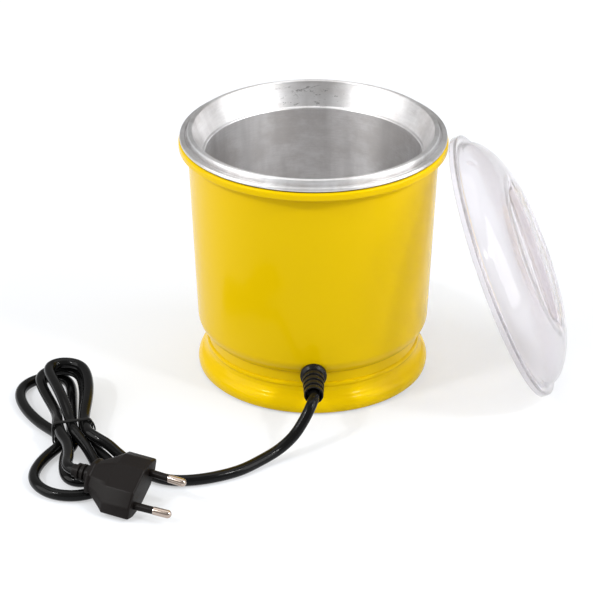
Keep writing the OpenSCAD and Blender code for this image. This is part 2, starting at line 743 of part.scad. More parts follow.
module terminal_block() {
    color(fibre) difference() {
        translate([block_x - block_size[0] / 2, -block_size[1] / 2, flange_low]) cube(block_size);
        poles() cylinder(d = insert_d + 2 * fit, h = block_size[1] + 2, center = true);
        for (x = [-1, 1], y = [-1, 1]) translate([block_x + x * pole_gap / 2, y * 4, pole_z])
            cylinder(d = small_d + slip, h = block_size[2]);
        translate([block_x, 0, flange_low - 1]) cylinder(d = small_d + slip, h = block_size[2] + 2);
    }
}

module terminal_inserts() {
    color(brass) difference() {
        union() {
            poles() cylinder(d = insert_d, h = block_size[1], center = true);
            for (x = [-1, 1], y = [-1, 1]) translate([block_x + x * pole_gap / 2, y * 4, pole_z])
                cylinder(d = small_d, h = block_size[2] / 2 - 1);
        }
        poles() cylinder(d = insert_bore, h = block_size[1] + 2, center = true);
    }
}

module block_screw() {
    top = flange_low + block_size[2];
    color(steel) translate([block_x, 0, top]) mirror([0, 0, 1]) screw(small_d, block_size[2] + bridge_t + 1.5, small_head_d, 2);
}

module saddle_holes() {
    for (x = [-1, 1]) translate([x * saddle_screw_x, saddle_y, flange_low - 1])
        cylinder(d = small_d + fit, h = 2 * sheet_t + 2);
}

module saddle_half(z0, z1) {
    difference() {
        translate([-saddle_w / 2, saddle_y - saddle_l / 2, z0]) cube([saddle_w, saddle_l, z1 - z0]);
        boot_frame() cylinder(d = cord_d + fit, h = boot_seat_y);
        for (x = [-1, 1]) translate([x * saddle_screw_x, saddle_y, z0 - 1])
            cylinder(d = small_d + slip, h = z1 - z0 + 2);
    }
}

module cord_saddle() {
    color(black) saddle_half(flange_top, boot_z - saddle_gap / 2);
}

module cord_clamp() {
    color(black) saddle_half(boot_z + saddle_gap / 2, clamp_top);
}

module clamp_screws() {
    color(steel) for (x = [-1, 1]) translate([x * saddle_screw_x, saddle_y, clamp_top]) mirror([0, 0, 1])
        screw(small_d, clamp_top - flange_low + 2, small_head_d - 0.2, 1.5);
}

module strain_relief() {
    rib_l = (boot_l - boot_flange_t) / boot_ribs;
    out = boot_seat_y + boot_flange_t;
    color(black) difference() {
        union() {
            boot_frame() {
                translate([0, 0, boot_in_y]) cylinder(d = boot_neck_d, h = boot_seat_y - boot_in_y + 1);
                translate([0, 0, boot_in_y]) cylinder(d1 = boot_neck_d, d2 = boot_snap_d, h = 1.5);
                translate([0, 0, boot_seat_y]) cylinder(d = boot_flange_d, h = boot_flange_t);
                translate([0, 0, out]) cylinder(d1 = boot_big_d - 1.6, d2 = boot_end_d - 1.6, h = boot_l - boot_flange_t);
                for (i = [0:boot_ribs - 1]) {
                    d = boot_big_d + (boot_end_d - boot_big_d) * i / max(1, boot_ribs - 1);
                    translate([0, 0, out + i * rib_l + 0.25 * rib_l]) cylinder(d = d, h = 0.75 * rib_l);
                }
            }
            difference() {
                boot_frame() translate([0, 0, boot_seat_y - 6]) cylinder(d = boot_flange_d - 1.4, h = 6.5);
                shell_outside(fit / 2);
            }
        }
        boot_frame() {
            translate([0, 0, boot_in_y - 1]) cylinder(d = boot_bore, h = boot_seat_y);
            translate([0, 0, lead_start_y]) cylinder(d = boot_cup_d, h = boot_cup + 1);
        }
    }
}

module inner_lead() {
    color(black) boot_frame() translate([0, 0, lead_in_y]) cylinder(d = cord_d, h = lead_start_y - lead_in_y);
}

// A wire along hand-chosen points
module wire(route) {
    tube(through(route, 3), core_d, 8, [1, 0, 0.2]);
}

// A core from the cord's end to a pole of the terminal block, a share of the way at a time
module core(x, pole, bow) {
    function at(part_x, part_y, z) = [x + part_x * (pole - x), part_y * block_front - (1 - part_y) * lead_in_y, z];
    wire([
        at(0, 0, boot_z) + [0, fit / 2, 0], at(0, 0.07, boot_z), at(0, 0.14, boot_z), at(bow, 0.34, boot_z - 0.5),
        at(0.5 + bow, 0.57, (boot_z + pole_z) / 2), at(0.95, 0.78, pole_z), at(1, 0.9, pole_z), at(1, 1, pole_z)
    ]);
}

module live_lead() {
    color("#7A4A25") core(-core_x, pole_l, 0.16);
}

module neutral_lead() {
    color("#2E5FA8") core(core_x, pole_n, 0.24);
}

module heater_leads() {
    blade_z = blade_low - fit;
    post_z = post_low - fit;
    tail_y = fuse_l / 2 + fuse_tail + fit;
    block_end = block_size[1] / 2 + 3.5;
    color("#C9C4B8") {
        wire([
            [pole_l, -block_front, pole_z], [pole_l, block_end, pole_z],
            [0.8 * pole_l, (block_end + stat_y) / 2, pole_z - 2], [2.6 * blade_x, stat_y - 2, blade_z - 4],
            [blade_x + 0.5, stat_y, blade_z - 4], [blade_x, stat_y, blade_z]
        ]);
        wire([
            [-blade_x, stat_y, blade_z], [-blade_x - 0.5, stat_y, blade_z - 4],
            [0.38 * fuse_x, stat_y + 4, blade_z - 3], [0.77 * fuse_x, stat_y + 8, blade_z + 5],
            [fuse_x, stat_y + 6, fuse_z - 1], [fuse_x, fuse_y + tail_y + 3, fuse_z],
            [fuse_x, fuse_y + tail_y, fuse_z]
        ]);
        wire([
            [fuse_x, fuse_y - tail_y, fuse_z], [fuse_x, fuse_y - tail_y - 3, fuse_z],
            [fuse_x, (fuse_y - tail_y + post_b[1]) / 2, fuse_z - 5],
            [post_b[0], post_b[1] + 3, post_z - 6], [post_b[0], post_b[1], post_z - 3], [post_b[0], post_b[1], post_z]
        ]);
        wire([
            [pole_n, -block_front, pole_z], [pole_n, block_end, pole_z], [pole_n, (block_end + post_a[1]) / 2, pole_z - 1],
            [post_a[0] + 3, post_a[1] - 2, pole_z - 1],
            [post_a[0], post_a[1], post_z - 3], [post_a[0], post_a[1], post_z]
        ]);
    }
}

module leaned() {
    translate([lid_x, lid_y, lid_z]) rotate([0, lid_tilt, lid_turn]) children();
}

// The two half-round pockets beside the grip bar, grown by a wall
module pockets(grow) {
    difference() {
        translate([0, 0, recess_z - grow]) cylinder(r = recess_r + grow, h = dome_h + brim_h);
        rotate(bar_a) translate([-recess_r - 5, -bar_w / 2 + grow, 0])
            cube([2 * recess_r + 10, bar_w - 2 * grow, 2 * (dome_h + brim_h)]);
    }
}

module lid() {
    in_r = dome_r - lid_t;
    color("#D7DAE3", 0.45) leaned() difference() {
        rotate_extrude() polygon(concat(
            [[0, 0], [lid_r - 0.2, 0], [lid_r, 0.3], [lid_r, brim_h - 0.8], [lid_r - 0.8, brim_h]],
            ellipse(dome_r, dome_h, brim_h, 2 * arc_n)
        ));
        difference() {
            rotate_extrude() polygon(concat(
                [[0, -1], [lid_r - brim_t, -1], [lid_r - brim_t, brim_h - lid_t], [in_r, brim_h - lid_t]],
                ellipse(in_r, dome_h - lid_t, brim_h, 2 * arc_n)
            ));
            pockets(lid_t);
        }
        pockets(0);
    }
}

module cord_lead() {
    color(black) tube(lead_line, cord_d, 10);
}

module cord_hank() {
    color(black) tube(hank_line, cord_d, 6);
}

module waist_frame() {
    translate([waist[0], waist[1], 0]) rotate(waist_a - 90) rotate([90, 0, 0]) children();
}

// The outline of the six strands at the waist, grown by a distance
module bundle(grow) {
    half = strand_gap + cord_d / 2 - 2;
    low = low_z - cord_d / 2 + 2;
    high = high_z + cord_d / 2 - 2;
    for (x = [-half, half], z = [low, high]) translate([x, z]) circle(r = 2 + grow);
    translate([-half - 2 - grow, low]) square([2 * half + 4 + 2 * grow, high - low]);
    translate([-half, low - 2 - grow]) square([2 * half, high - low + 4 + 2 * grow]);
}

module cord_tie() {
    tie_t = 0.8;
    tie_w = 2;
    color(black) waist_frame() {
        linear_extrude(tie_w, center = true) difference() {
            bundle(0.15 + tie_t);
            bundle(0.15);
        }
        translate([strand_gap + cord_d / 2 + 0.5, low_z + 1, -tie_w / 2]) rotate(-14) cube([8, tie_t, tie_w]);
    }
}

module plug_frame() {
    translate(plug_at) rotate(plug_turn) rotate([90, 0, 90]) children();
}

function plug_outline(w, t) = [
    [0.37 * w / 2, t / 2], [0.79 * w / 2, 0.27 * t], [w / 2, 0], [0.79 * w / 2, -0.27 * t], [0.37 * w / 2, -t / 2],
    [-0.37 * w / 2, -t / 2], [-0.79 * w / 2, -0.27 * t], [-w / 2, 0], [-0.79 * w / 2, 0.27 * t], [-0.37 * w / 2, t / 2]
];

module pins() {
    for (s = [-1, 1]) translate([s * pin_gap / 2, 0, 0]) rotate([0, -s * pin_lean, 0]) children();
}

module plug_body() {
    guard_d = cord_d + 3.6;
    color(black) plug_frame() difference() {
        union() {
            translate([0, 0, -plug_l]) linear_extrude(plug_l) polygon(plug_outline(plug_w, plug_t));
            hull() {
                translate([0, 0, -plug_l - 0.01]) linear_extrude(0.01) polygon(plug_outline(plug_w, plug_t));
                translate([0, 0, -plug_l - plug_taper_l]) linear_extrude(0.01) scale([1.6, 1]) circle(d = 10, $fn = 24);
            }
            translate([0, 0, -plug_back]) cylinder(d = guard_d - 1.6, h = plug_guard_l + 1);
            for (z = [0, 2.6]) translate([0, 0, -plug_back + z]) cylinder(d = guard_d, h = 1.5);
        }
        pins() translate([0, 0, -pin_root - 0.2]) cylinder(d = pin_core_d + 2 * fit, h = pin_root + 3);
    }
}

module plug_sleeves() {
    color(black) plug_frame() pins() translate([0, 0, 0.4]) washer(pin_d - 0.4, pin_core_d + fit, sleeve_l - 0.4);
}

module plug_pins() {
    color(aluminium) plug_frame() pins() {
        translate([0, 0, -pin_root]) cylinder(d = pin_core_d, h = pin_root + sleeve_l + 1);
        translate([0, 0, sleeve_l]) cylinder(d = pin_d, h = pin_l - sleeve_l - pin_d / 2);
        translate([0, 0, pin_l - pin_d / 2]) sphere(d = pin_d);
    }
}

body_shell();
base_ring();
bottom_cover();
rubber_feet();
cover_screws();
cover_spacers();
cover_nuts();
inner_pot();
rim_gasket();
heater_plate();
insulation_disc();
heat_shield();
centre_stud();
shield_washer();
shield_nut();
support_bridge();
bridge_washer();
bridge_nut();
insulation_wrap();
wrap_straps();
thermostat();
thermostat_bracket();
bracket_screws();
thermal_fuse();
fuse_clip();
fuse_screw();
terminal_block();
terminal_inserts();
block_screw();
cord_saddle();
cord_clamp();
clamp_screws();
strain_relief();
inner_lead();
live_lead();
neutral_lead();
heater_leads();
lid();
cord_lead();
cord_hank();
cord_tie();
plug_body();
plug_sleeves();
plug_pins();
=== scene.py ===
"""A dental wax heater: a spun aluminium pot in a yellow painted shell, its clear lid leaned
against it and its mains cord tied in a hank beside it. Sizes are in millimetres, and places
are in the CAD's frame."""

import math

import bmesh
import bpy
import numpy as np
from mathutils import Euler, Matrix, Vector


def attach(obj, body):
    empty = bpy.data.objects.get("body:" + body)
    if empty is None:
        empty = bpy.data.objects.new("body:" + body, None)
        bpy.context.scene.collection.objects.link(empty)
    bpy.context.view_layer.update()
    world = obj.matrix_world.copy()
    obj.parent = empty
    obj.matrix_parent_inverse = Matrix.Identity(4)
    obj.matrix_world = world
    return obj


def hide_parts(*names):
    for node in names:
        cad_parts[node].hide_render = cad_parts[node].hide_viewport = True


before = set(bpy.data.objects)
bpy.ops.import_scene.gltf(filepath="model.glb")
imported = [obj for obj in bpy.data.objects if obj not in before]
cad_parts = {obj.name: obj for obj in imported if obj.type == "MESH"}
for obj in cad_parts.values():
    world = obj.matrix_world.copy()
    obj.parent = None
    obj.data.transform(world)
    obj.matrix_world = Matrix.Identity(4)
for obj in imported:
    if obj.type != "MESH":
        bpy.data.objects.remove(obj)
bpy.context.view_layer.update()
MM = 0.001

# ---
# Camera. It stands in front of the heater and above it, and looks down at 28 degrees,
# as the photograph does. The frame is 593 x 614 pixels.
EYE, DOWN_TILT = (-8.5, -1075.0, 603.4), 28.06
FOCAL_PIXELS, FRAME_PIXELS, SENSOR_W = 2335, 614, 36
NEAREST, FARTHEST = 0.05, 20
camera = bpy.data.objects.new("camera", bpy.data.cameras.new("camera"))
camera.data.sensor_width = SENSOR_W
camera.data.lens = FOCAL_PIXELS * SENSOR_W / FRAME_PIXELS
camera.data.clip_start, camera.data.clip_end = NEAREST, FARTHEST
camera.location = [v * MM for v in EYE]
camera.rotation_euler = (math.radians(90 - DOWN_TILT), 0, 0)
bpy.context.scene.collection.objects.link(camera)
bpy.context.scene.camera = camera

# ---
# Mains cord. A round 5.5 mm cord with a black PVC jacket leaves the boot, lies on the table
# and is tied in a hank of five loops; its other end runs into the plug. It is one sweep of a
# circle along the line that the loops follow.
CORD_D, CORD_SIDES, CORD_STEPS = 5.5, 24, 8
LYING = CORD_D / 2
WAIST, WAIST_TURN = np.array([-119.0, -87.0]), 104.5
STRAND_GAP, LOW_Z, HIGH_Z, WAIST_HALF = 6.6, 3.75, 9.95, 6.0
LOOP_LEG, LOOP_END, LOOP_END_TURN = ((0.38, 0.30), (0.72, 0.46)), 0.54, 80
ON_TABLE = [LYING] * 9
PLUG_AT, PLUG_TURN, PLUG_BACK = (-81.0, -145.0, 10.4), (29, 2, -24), 31.5
INTO_GUARD, INTO_PLUG = (-5.5, 0, 5.5), 1.5
LEAD = [
    (0, -76, 23.5), (0, -80, 23.5), (0, -82, 23.4), (-1.5, -87, 21.5), (-5, -91.5, 16),
    (-10, -96, 10), (-17, -101, 5.5), (-26, -108, 3.4), (-36, -116, 2.75), (-48, -122, 2.75),
    (-60, -125, 2.75), (-70, -124.5, 2.75), (-79, -120, 2.75), (-86, -113, 2.75),
    (-91.3, -107.2, 3.2), (-95.9, -103.6, 5.2), (-100.4, -100.4, 7.7), (-104.8, -97.8, 9.2),
    (-108.6, -94.7, 9.9),
]
TAIL = [(-120.5, -101, 9.9), (-119, -109, 9.9), (-118.5, -117, 10.2), (-119, -124.5, 10.8)]
PLUG_FRAME = (
    Matrix.Translation(PLUG_AT) @ Euler([math.radians(a) for a in PLUG_TURN]).to_matrix().to_4x4()
)


def operator(operation, reflected=False):
    """A method that adds the Math node of an operation."""

    def method(self, other=0.0):
        parts = (other, self) if reflected else (self, other)
        return self.home.node("ShaderNodeMath", {"operation": operation}, dict(enumerate(parts)))

    return method


class Value:
    """A number or vector in a tree of nodes, on which sums are written as sums."""

    __add__ = __radd__ = operator("ADD")
    __sub__, __rsub__ = operator("SUBTRACT"), operator("SUBTRACT", True)
    __mul__ = __rmul__ = operator("MULTIPLY")
    __truediv__, __rtruediv__ = operator("DIVIDE"), operator("DIVIDE", True)
    __pow__, larger = operator("POWER"), operator("MAXIMUM")
    sine, cosine = operator("SINE"), operator("COSINE")

    def __init__(self, home, socket):
        self.home, self.socket = home, socket

    def within(self, low, high):
        """0 below low, 1 above high and a smooth step between them."""
        settings = {"interpolation_type": "SMOOTHSTEP"}
        return self.home.node("ShaderNodeMapRange", settings, {0: self, 1: low, 2: high})


class Tree:
    """A tree of nodes, and the one method that adds a node to it."""

    def __init__(self, tree):
        self.tree = tree

    def put(self, node, sockets):
        for key, value in sockets.items():
            if isinstance(value, Value):
                self.tree.links.new(value.socket, node.inputs[key])
            else:
                node.inputs[key].default_value = value

    def node(self, kind, settings=None, sockets=None, out=0):
        node = self.tree.nodes.new(kind)
        for key, value in (settings or {}).items():
            setattr(node, key, value)
        self.put(node, sockets or {})
        return Value(self, node.outputs[out])

    def join(self, x, y, z):
        return self.node("ShaderNodeCombineXYZ", sockets={0: x, 1: y, 2: z})


class Finish(Tree):
    """A shader's nodes, with its constants on the shader's own sockets. It is a material on
    Principled BSDF, or the light of a world."""

    def __init__(self, name, constants=None, home=bpy.data.materials, shader="Principled BSDF"):
        self.material = home.new(name)
        self.material.use_nodes = True
        super().__init__(self.material.node_tree)
        self.shader = self.tree.nodes[shader]
        self.feed(constants or {})
        self.spot = None

    def feed(self, sockets):
        self.put(self.shader, sockets)

    def place(self):
        """The piece's own coordinates."""
        if self.spot is None:
            self.spot = self.node("ShaderNodeTexCoord", out="Object")
        return self.spot

    def parts(self, vector):
        """The X, Y and Z of a vector."""
        node = self.node("ShaderNodeSeparateXYZ", sockets={0: vector}).socket.node
        return [Value(self, out) for out in node.outputs]

    def noise(self, scale, detail=2.0, roughness=0.5, stretch=None, over=None):
        """A cloudy pattern over the piece's own coordinates or over another vector."""
        over = over or self.place()
        if stretch:
            over = self.node("ShaderNodeMapping", sockets={"Vector": over, "Scale": stretch})
        sockets = {"Vector": over, "Scale": scale, "Detail": detail, "Roughness": roughness}
        return self.node("ShaderNodeTexNoise", sockets=sockets)

    def mix(self, share, first, second):
        """A colour that goes from the first to the second as share goes from 0 to 1."""
        first, second = (c if isinstance(c, Value) else (*c, 1) for c in (first, second))
        sockets = {0: share, 6: first, 7: second}
        return self.node("ShaderNodeMix", {"data_type": "RGBA"}, sockets, out=2)

    def look(self, colour, roughness, relief, depth):
        """Feeds the shader. The relief goes from 0 to 1 and is depth millimetres deep."""
        normal = self.node("ShaderNodeBump", sockets={"Height": relief, "Distance": depth * MM})
        self.feed({"Base Color": colour, "Roughness": roughness, "Normal": normal})


def turned(point, degrees):
    """A point of the table's plane turned about the origin."""
    c, s = math.cos(math.radians(degrees)), math.sin(math.radians(degrees))
    return np.array([point[0] * c - point[1] * s, point[0] * s + point[1] * c])


def circle(radius, count):
    angles = np.linspace(0, math.tau, count, False)
    return [(radius * math.cos(a), radius * math.sin(a)) for a in angles]


def arc(x, y, radius, start, end, steps):
    """Points of an arc about (x, y), from one angle to another in degrees."""
    return [
        (x + radius * math.cos(a), y + radius * math.sin(a))
        for a in np.linspace(math.radians(start), math.radians(end), steps + 1)
    ]


# What four points of a row weigh in a curve, for 1, t, t squared and t cubed
NEAR = np.array([[1, 4, 1, 0], [-3, 0, 3, 0], [3, -6, 3, 0], [-1, 3, -3, 1]]) / 6
THROUGH = np.array([[0, 2, 0, 0], [-1, 0, 1, 0], [2, -5, 4, -1], [-1, 3, -3, 1]]) / 2


def near(points, steps, weights=NEAR):
    """A smooth curve that runs near its control points."""
    p, line = np.array(points, float), []
    for i in range(len(p) - 3):
        for t in np.arange(steps) / steps:
            line.append(np.array((1, t, t**2, t**3)) @ weights @ p[i : i + 4])
    return line + [weights[0, :3] @ p[-3:]]


def through(points, steps):
    """A smooth curve that runs through its points."""
    p = np.array(points, float)
    return near(np.vstack([2 * p[0] - p[1], p, 2 * p[-1] - p[-2]]), steps, THROUGH)


def slot_at(column, row, along):
    """A strand's place at the waist: column -1 to 1, row 0 or 1, distance along the bundle."""
    across = column * STRAND_GAP * turned((0, -1), WAIST_TURN)
    return (*(WAIST + along * turned((1, 0), WAIST_TURN) + across), HIGH_Z if row else LOW_Z)


def crossing(column, row, way):
    """Three points of a strand that goes through the waist one way or the other."""
    return [slot_at(column, row, way * k * WAIST_HALF) for k in (-1, 0, 1)]


def loop(aim, lean, reach, width, side, heights):
    """A teardrop loop that leaves the waist at one slot and comes back at another."""
    centre = reach - width / 2
    leg = [(x * centre, y * width) for x, y in LOOP_LEG]
    way = leg + arc(centre, 0, LOOP_END * width, LOOP_END_TURN, -LOOP_END_TURN, 4)
    way += [(x, -y) for x, y in reversed(leg)]
    return [
        (*(WAIST + turned((x, -side * y), aim + lean * x / reach)), z)
        for (x, y), z in zip(way, heights)
    ]


def moved(points, matrix):
    return [tuple(matrix @ Vector(p)) for p in points]


def obj_from(name, points, faces, finish, place=None, smooth=True, sharp=38):
    """A mesh object from points in millimetres, put in its place, with its faces outwards."""
    points = points if place is None else moved(points, place)
    mesh = bpy.data.meshes.new(name)
    mesh.from_pydata([tuple(MM * c for c in p) for p in points], [], faces)
    work = bmesh.new()
    work.from_mesh(mesh)
    bmesh.ops.recalc_face_normals(work, faces=work.faces)
    work.to_mesh(mesh)
    work.free()
    if smooth:
        mesh.shade_smooth()
        mesh.set_sharp_from_angle(angle=math.radians(sharp))
    obj = bpy.data.objects.new(name, mesh)
    bpy.context.scene.collection.objects.link(obj)
    obj.data.materials.append(finish.material)
    return obj


def wall_faces(rings, around, closed=False):
    """The faces between rings of as many points each, numbered one ring after the other."""
    faces = []
    for i in range(rings if closed else rings - 1):
        j = (i + 1) % rings
        for k in range(around):
            n = (k + 1) % around
            faces.append((i * around + k, i * around + n, j * around + n, j * around + k))
    return faces


def sweep(line, section, closed=False, swell=None):
    """Points and faces of a section carried along a line without twist; swell is its size at
    each point of the line."""
    line = np.array(line, float)
    count, around = len(line), len(section)
    swell = np.ones(count) if swell is None else swell
    ahead = np.roll(line, -1, 0) - np.roll(line, 1, 0)
    if not closed:
        ahead[0], ahead[-1] = line[1] - line[0], line[-1] - line[-2]
    ahead /= np.linalg.norm(ahead, axis=1)[:, None]
    side, points = np.array((0.0, 0.0, 1.0)), []
    for spot, way, size in zip(line, ahead, swell):
        side = side - side.dot(way) * way
        side /= np.linalg.norm(side)
        across = np.cross(way, side)
        points += [spot + size * (x * across + y * side) for x, y in section]
    faces = wall_faces(count, around, closed)
    if not closed:
        faces += [tuple(range(around)), tuple((count - 1) * around + k for k in range(around))]
    return points, faces


guard_course = moved([(-PLUG_BACK + d, 0, 0) for d in INTO_GUARD], PLUG_FRAME)
hank_route = (
    crossing(1, 1, 1)
    + loop(85, 15, 56, 18, 1, [11.4, 13.2, 14.9, 14.9, 14.9, 14.9, 14.9, 14.6, 13.4])
    + crossing(0, 1, -1)
    + loop(-80, 3, 40, 16, -1, [6.5, 4.2, 3] + [LYING] * 6)
    + crossing(0, 0, 1)
    + loop(123, -15, 64, 27, 1, ON_TABLE)
    + crossing(-1, 0, -1)
    + loop(-84.2, 0, 52, 39, 1, ON_TABLE)
    + crossing(1, 0, 1)
    + loop(96.5, 6, 60, 21, 1, [5, 7, 8.8, 8.8, 8.8, 8.8, 8.8, 7.6, 7])
    + crossing(-1, 1, -1)
    + TAIL
    + guard_course
)
cord_line = through(LEAD + [slot_at(1, 1, -CORD_D), slot_at(1, 1, 0)], CORD_STEPS)
cord_line += near(hank_route, CORD_STEPS)[1:]
cord_line += [np.array(p) for p in moved([(-PLUG_BACK + INTO_PLUG, 0, 0)], PLUG_FRAME)]

pvc = Finish("black_pvc_jacket", {"Specular IOR Level": 0.15})
grain = pvc.noise(1400, 4, 0.6)
patches = pvc.noise(55, 3)
dust = pvc.noise(320, 5, 0.65).within(0.56, 0.78)
pvc.look(
    pvc.mix(dust * 0.35, (0.004, 0.004, 0.004), (0.018, 0.017, 0.017)),
    0.10 + patches * 0.08 + grain * 0.04,
    grain + patches * 1.5, 0.03,
)
cord = obj_from("mains_cord", *sweep(cord_line, circle(CORD_D / 2, CORD_SIDES)), pvc)
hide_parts("cord_lead", "cord_hank")
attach(cord, "heater")

# ---
# Plug. A flat two-pin plug moulded in one piece of black plastic. Its sides come to a blunt
# ridge, and it narrows towards the cord and ends in a collar. The body is lofted from front to
# back through rounded outlines.
PLUG_W, PLUG_T, PLUG_L, PLUG_TAPER, PLUG_SPOKES = 35.0, 13.8, 15.0, 12.0, 200
FLAT, SHOULDER, SHOULDER_T, RIDGE_ROUND, END_ROUND = 0.37, 0.79, 0.27, 1.0, 0.8
CORD_END, COLLAR_L, COLLAR_PROUD = (18.4, 11.6), 2.3, 0.6
FACE_EDGE = ((1.1, 0), (0.7, -0.06), (0.32, -0.28), (0.08, -0.66), (0, -1.15), (0, -7))
COLLAR = (
    (0.1, -0.25), (0.42, -0.45), (COLLAR_PROUD, -0.8), (COLLAR_PROUD, -COLLAR_L + 0.5),
    (0.42, -COLLAR_L + 0.12), (0.0, -COLLAR_L), (-1.4, -COLLAR_L),
)
TAPER_FROM, TAPER_TO, TAPER_RINGS, TAPER_BELLY = 14.5, PLUG_L + PLUG_TAPER - COLLAR_L, 22, 0.92
# From a piece's X across the plug, Y through its thickness and Z out along its pins
FROM_PLUG = PLUG_FRAME @ Matrix(((0, 0, 1, 0), (1, 0, 0, 0), (0, 1, 0, 0), (0, 0, 0, 1)))


def clamped(value):
    return min(1.0, max(0.0, value))


# The most of a run that a fillet takes, and where a run's own points lie
FILLET_SHARE, RUN_LEAST, HOLD_BACK = 0.48, 2.4, 0.6


def profile_of(corners, hold=0.5, closed=False, steps=5):
    """A line from (x, y, fillet) corners. Fillets are curves, and a straight run that is long
    enough gets a point near its ends, hold from the fillet, that keeps its shading flat."""
    points = [np.array(c[:2], float) for c in corners]
    out, last = [], len(points) - 1
    for i, here in enumerate(points):
        r = corners[i][2] if len(corners[i]) > 2 else 0
        if r <= 0 or (not closed and i in (0, last)):
            out.append(tuple(here))
            continue
        before, after = points[i - 1] - here, points[(i + 1) % (last + 1)] - here
        run_in, run_out = np.linalg.norm(before), np.linalg.norm(after)
        before, after = before / run_in, after / run_out
        half = math.acos(max(-1, min(1, before.dot(after)))) / 2
        back = min(r / math.tan(half), FILLET_SHARE * run_in, FILLET_SHARE * run_out)
        a, b = here + back * before, here + back * after
        if hold and run_in > RUN_LEAST * back + hold:
            out.append(tuple(a + hold * HOLD_BACK * before))
        for t in np.linspace(0, 1, steps + 1):
            out.append(tuple((1 - t) ** 2 * a + 2 * t * (1 - t) * here + t**2 * b))
        if hold and run_out > RUN_LEAST * back + hold:
            out.append(tuple(b + hold * HOLD_BACK * after))
    return out


def filleted(corners, radius, steps=5):
    """A closed outline with all its corners rounded alike."""
    return profile_of([(x, y, radius) for x, y in corners], 0, True, steps)


def even(outline, count):
    """The same closed outline as count points at even angles about the origin."""
    ring = np.array(outline)
    angles = np.arctan2(ring[:, 1], ring[:, 0])
    order = np.argsort(angles)
    angles = np.concatenate([angles[order] + turn for turn in (-math.tau, 0, math.tau)])
    ring = np.vstack([ring[order]] * 3)
    wanted = np.linspace(-math.pi, math.pi, count, False)
    return np.column_stack([np.interp(wanted, angles, ring[:, k]) for k in (0, 1)])


def loft(rings):
    """Points and faces through a row of rings of equally many points, closed at both ends."""
    around = len(rings[0])
    points = [tuple(p) for ring in rings for p in ring]
    faces = wall_faces(len(rings), around)
    for start in (0, (len(rings) - 1) * around):
        points.append(tuple(np.mean(points[start : start + around], axis=0)))
        hub = len(points) - 1
        faces += [(start + k, start + (k + 1) % around, hub) for k in range(around)]
    return points, faces


half_w = PLUG_W / 2
right_side = [
    (FLAT * half_w, PLUG_T / 2), (SHOULDER * half_w, SHOULDER_T * PLUG_T), (half_w, 0),
    (SHOULDER * half_w, -SHOULDER_T * PLUG_T), (FLAT * half_w, -PLUG_T / 2),
]
plug_outline = right_side + [(-x, -y) for x, y in right_side]
end_scale = np.array([CORD_END[0] / PLUG_W, CORD_END[1] / PLUG_T])
body_ring = even(filleted(plug_outline, RIDGE_ROUND), PLUG_SPOKES)
end_ring = even(filleted(np.array(plug_outline) * end_scale, END_ROUND), PLUG_SPOKES)
plug_rings = []
for inset, z in FACE_EDGE:
    scale = np.array([1 - inset / half_w, 1 - 2 * inset / PLUG_T])
    plug_rings.append([(*p, z) for p in body_ring * scale])
for z in np.linspace(-TAPER_FROM + 0.1, -TAPER_TO, TAPER_RINGS):
    share = clamped((-z - TAPER_FROM) / (TAPER_TO - TAPER_FROM)) ** TAPER_BELLY
    plug_rings.append([(*p, z) for p in body_ring * (1 - share) + end_ring * share])
for proud, z in COLLAR:
    scale = np.array([1 + 2 * proud / CORD_END[0], 1 + 2 * proud / CORD_END[1]])
    plug_rings.append([(*p, z - TAPER_TO) for p in end_ring * scale])

satin = Finish("satin_black_plastic", {"Specular IOR Level": 0.12})
spark = satin.noise(2600, 3, 0.65)
mould = satin.noise(120, 4)
rub = satin.noise(42, 5, 0.6).within(0.5, 0.8)
satin.look(
    satin.mix(rub * 0.6, (0.0075, 0.0058, 0.0052), (0.016, 0.013, 0.0118)),
    0.32 + mould * 0.14 + rub * 0.08,
    spark + mould * 0.8, 0.035,
)
plug = obj_from("plug", *loft(plug_rings), satin, FROM_PLUG)
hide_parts("plug_body")
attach(plug, "heater")

# ---
# Kink guard. The end of the plug's moulding round the cord: a neck with three soft ribs that
# get smaller towards the cord. It is a circle swept along the cord and swelled at each rib.
GUARD_IN, GUARD_L, GUARD_STEPS, GUARD_R, GUARD_TAPER = 1.2, 10.0, 76, 3.45, 0.03
GUARD_RIBS = ((0.5, 2.2, 4.6), (3.3, 4.9, 4.4), (6.0, 7.5, 4.2))
RIB_SPREAD, RIB_FLANK = 1.15, 0.3
GUARD_PLAY, GUARD_END_SLOPE = 0.05, 1.1


def guard_radius(back):
    """The guard's radius at a distance behind the plug's collar."""
    radius = GUARD_R - GUARD_TAPER * back
    for start, end, rib_r in GUARD_RIBS:
        off = abs(back - (start + end) / 2) / (end - start) * 2
        radius += (rib_r - radius) * clamped((RIB_SPREAD - off) / RIB_FLANK)
    return min(radius, CORD_D / 2 + GUARD_PLAY + GUARD_END_SLOPE * max(0, GUARD_L - back))


backs = np.linspace(-GUARD_IN, GUARD_L, GUARD_STEPS)
guard_line = moved([(0, 0, -PLUG_L - PLUG_TAPER - back) for back in backs], FROM_PLUG)
guard_radii = [guard_radius(back) for back in backs]
guard = obj_from(
    "plug_guard", *sweep(guard_line, circle(1, CORD_SIDES), swell=guard_radii), satin
)
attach(guard, "heater")

# ---
# Plug pins. Two turned brass pins, 4 mm thick and nickel plated, with domed ends, that lean
# together a little. The half beside the body is reduced and covered by a black sleeve.
PIN_D, PIN_L, PIN_GAP, PIN_TIP_GAP, PIN_SPOKES = 4.0, 19.0, 18.6, 17.5, 48
PIN_NECK_R, PIN_ROOT, SLEEVE_L, SLEEVE_R = 1.5, 2, 10.0, 1.86


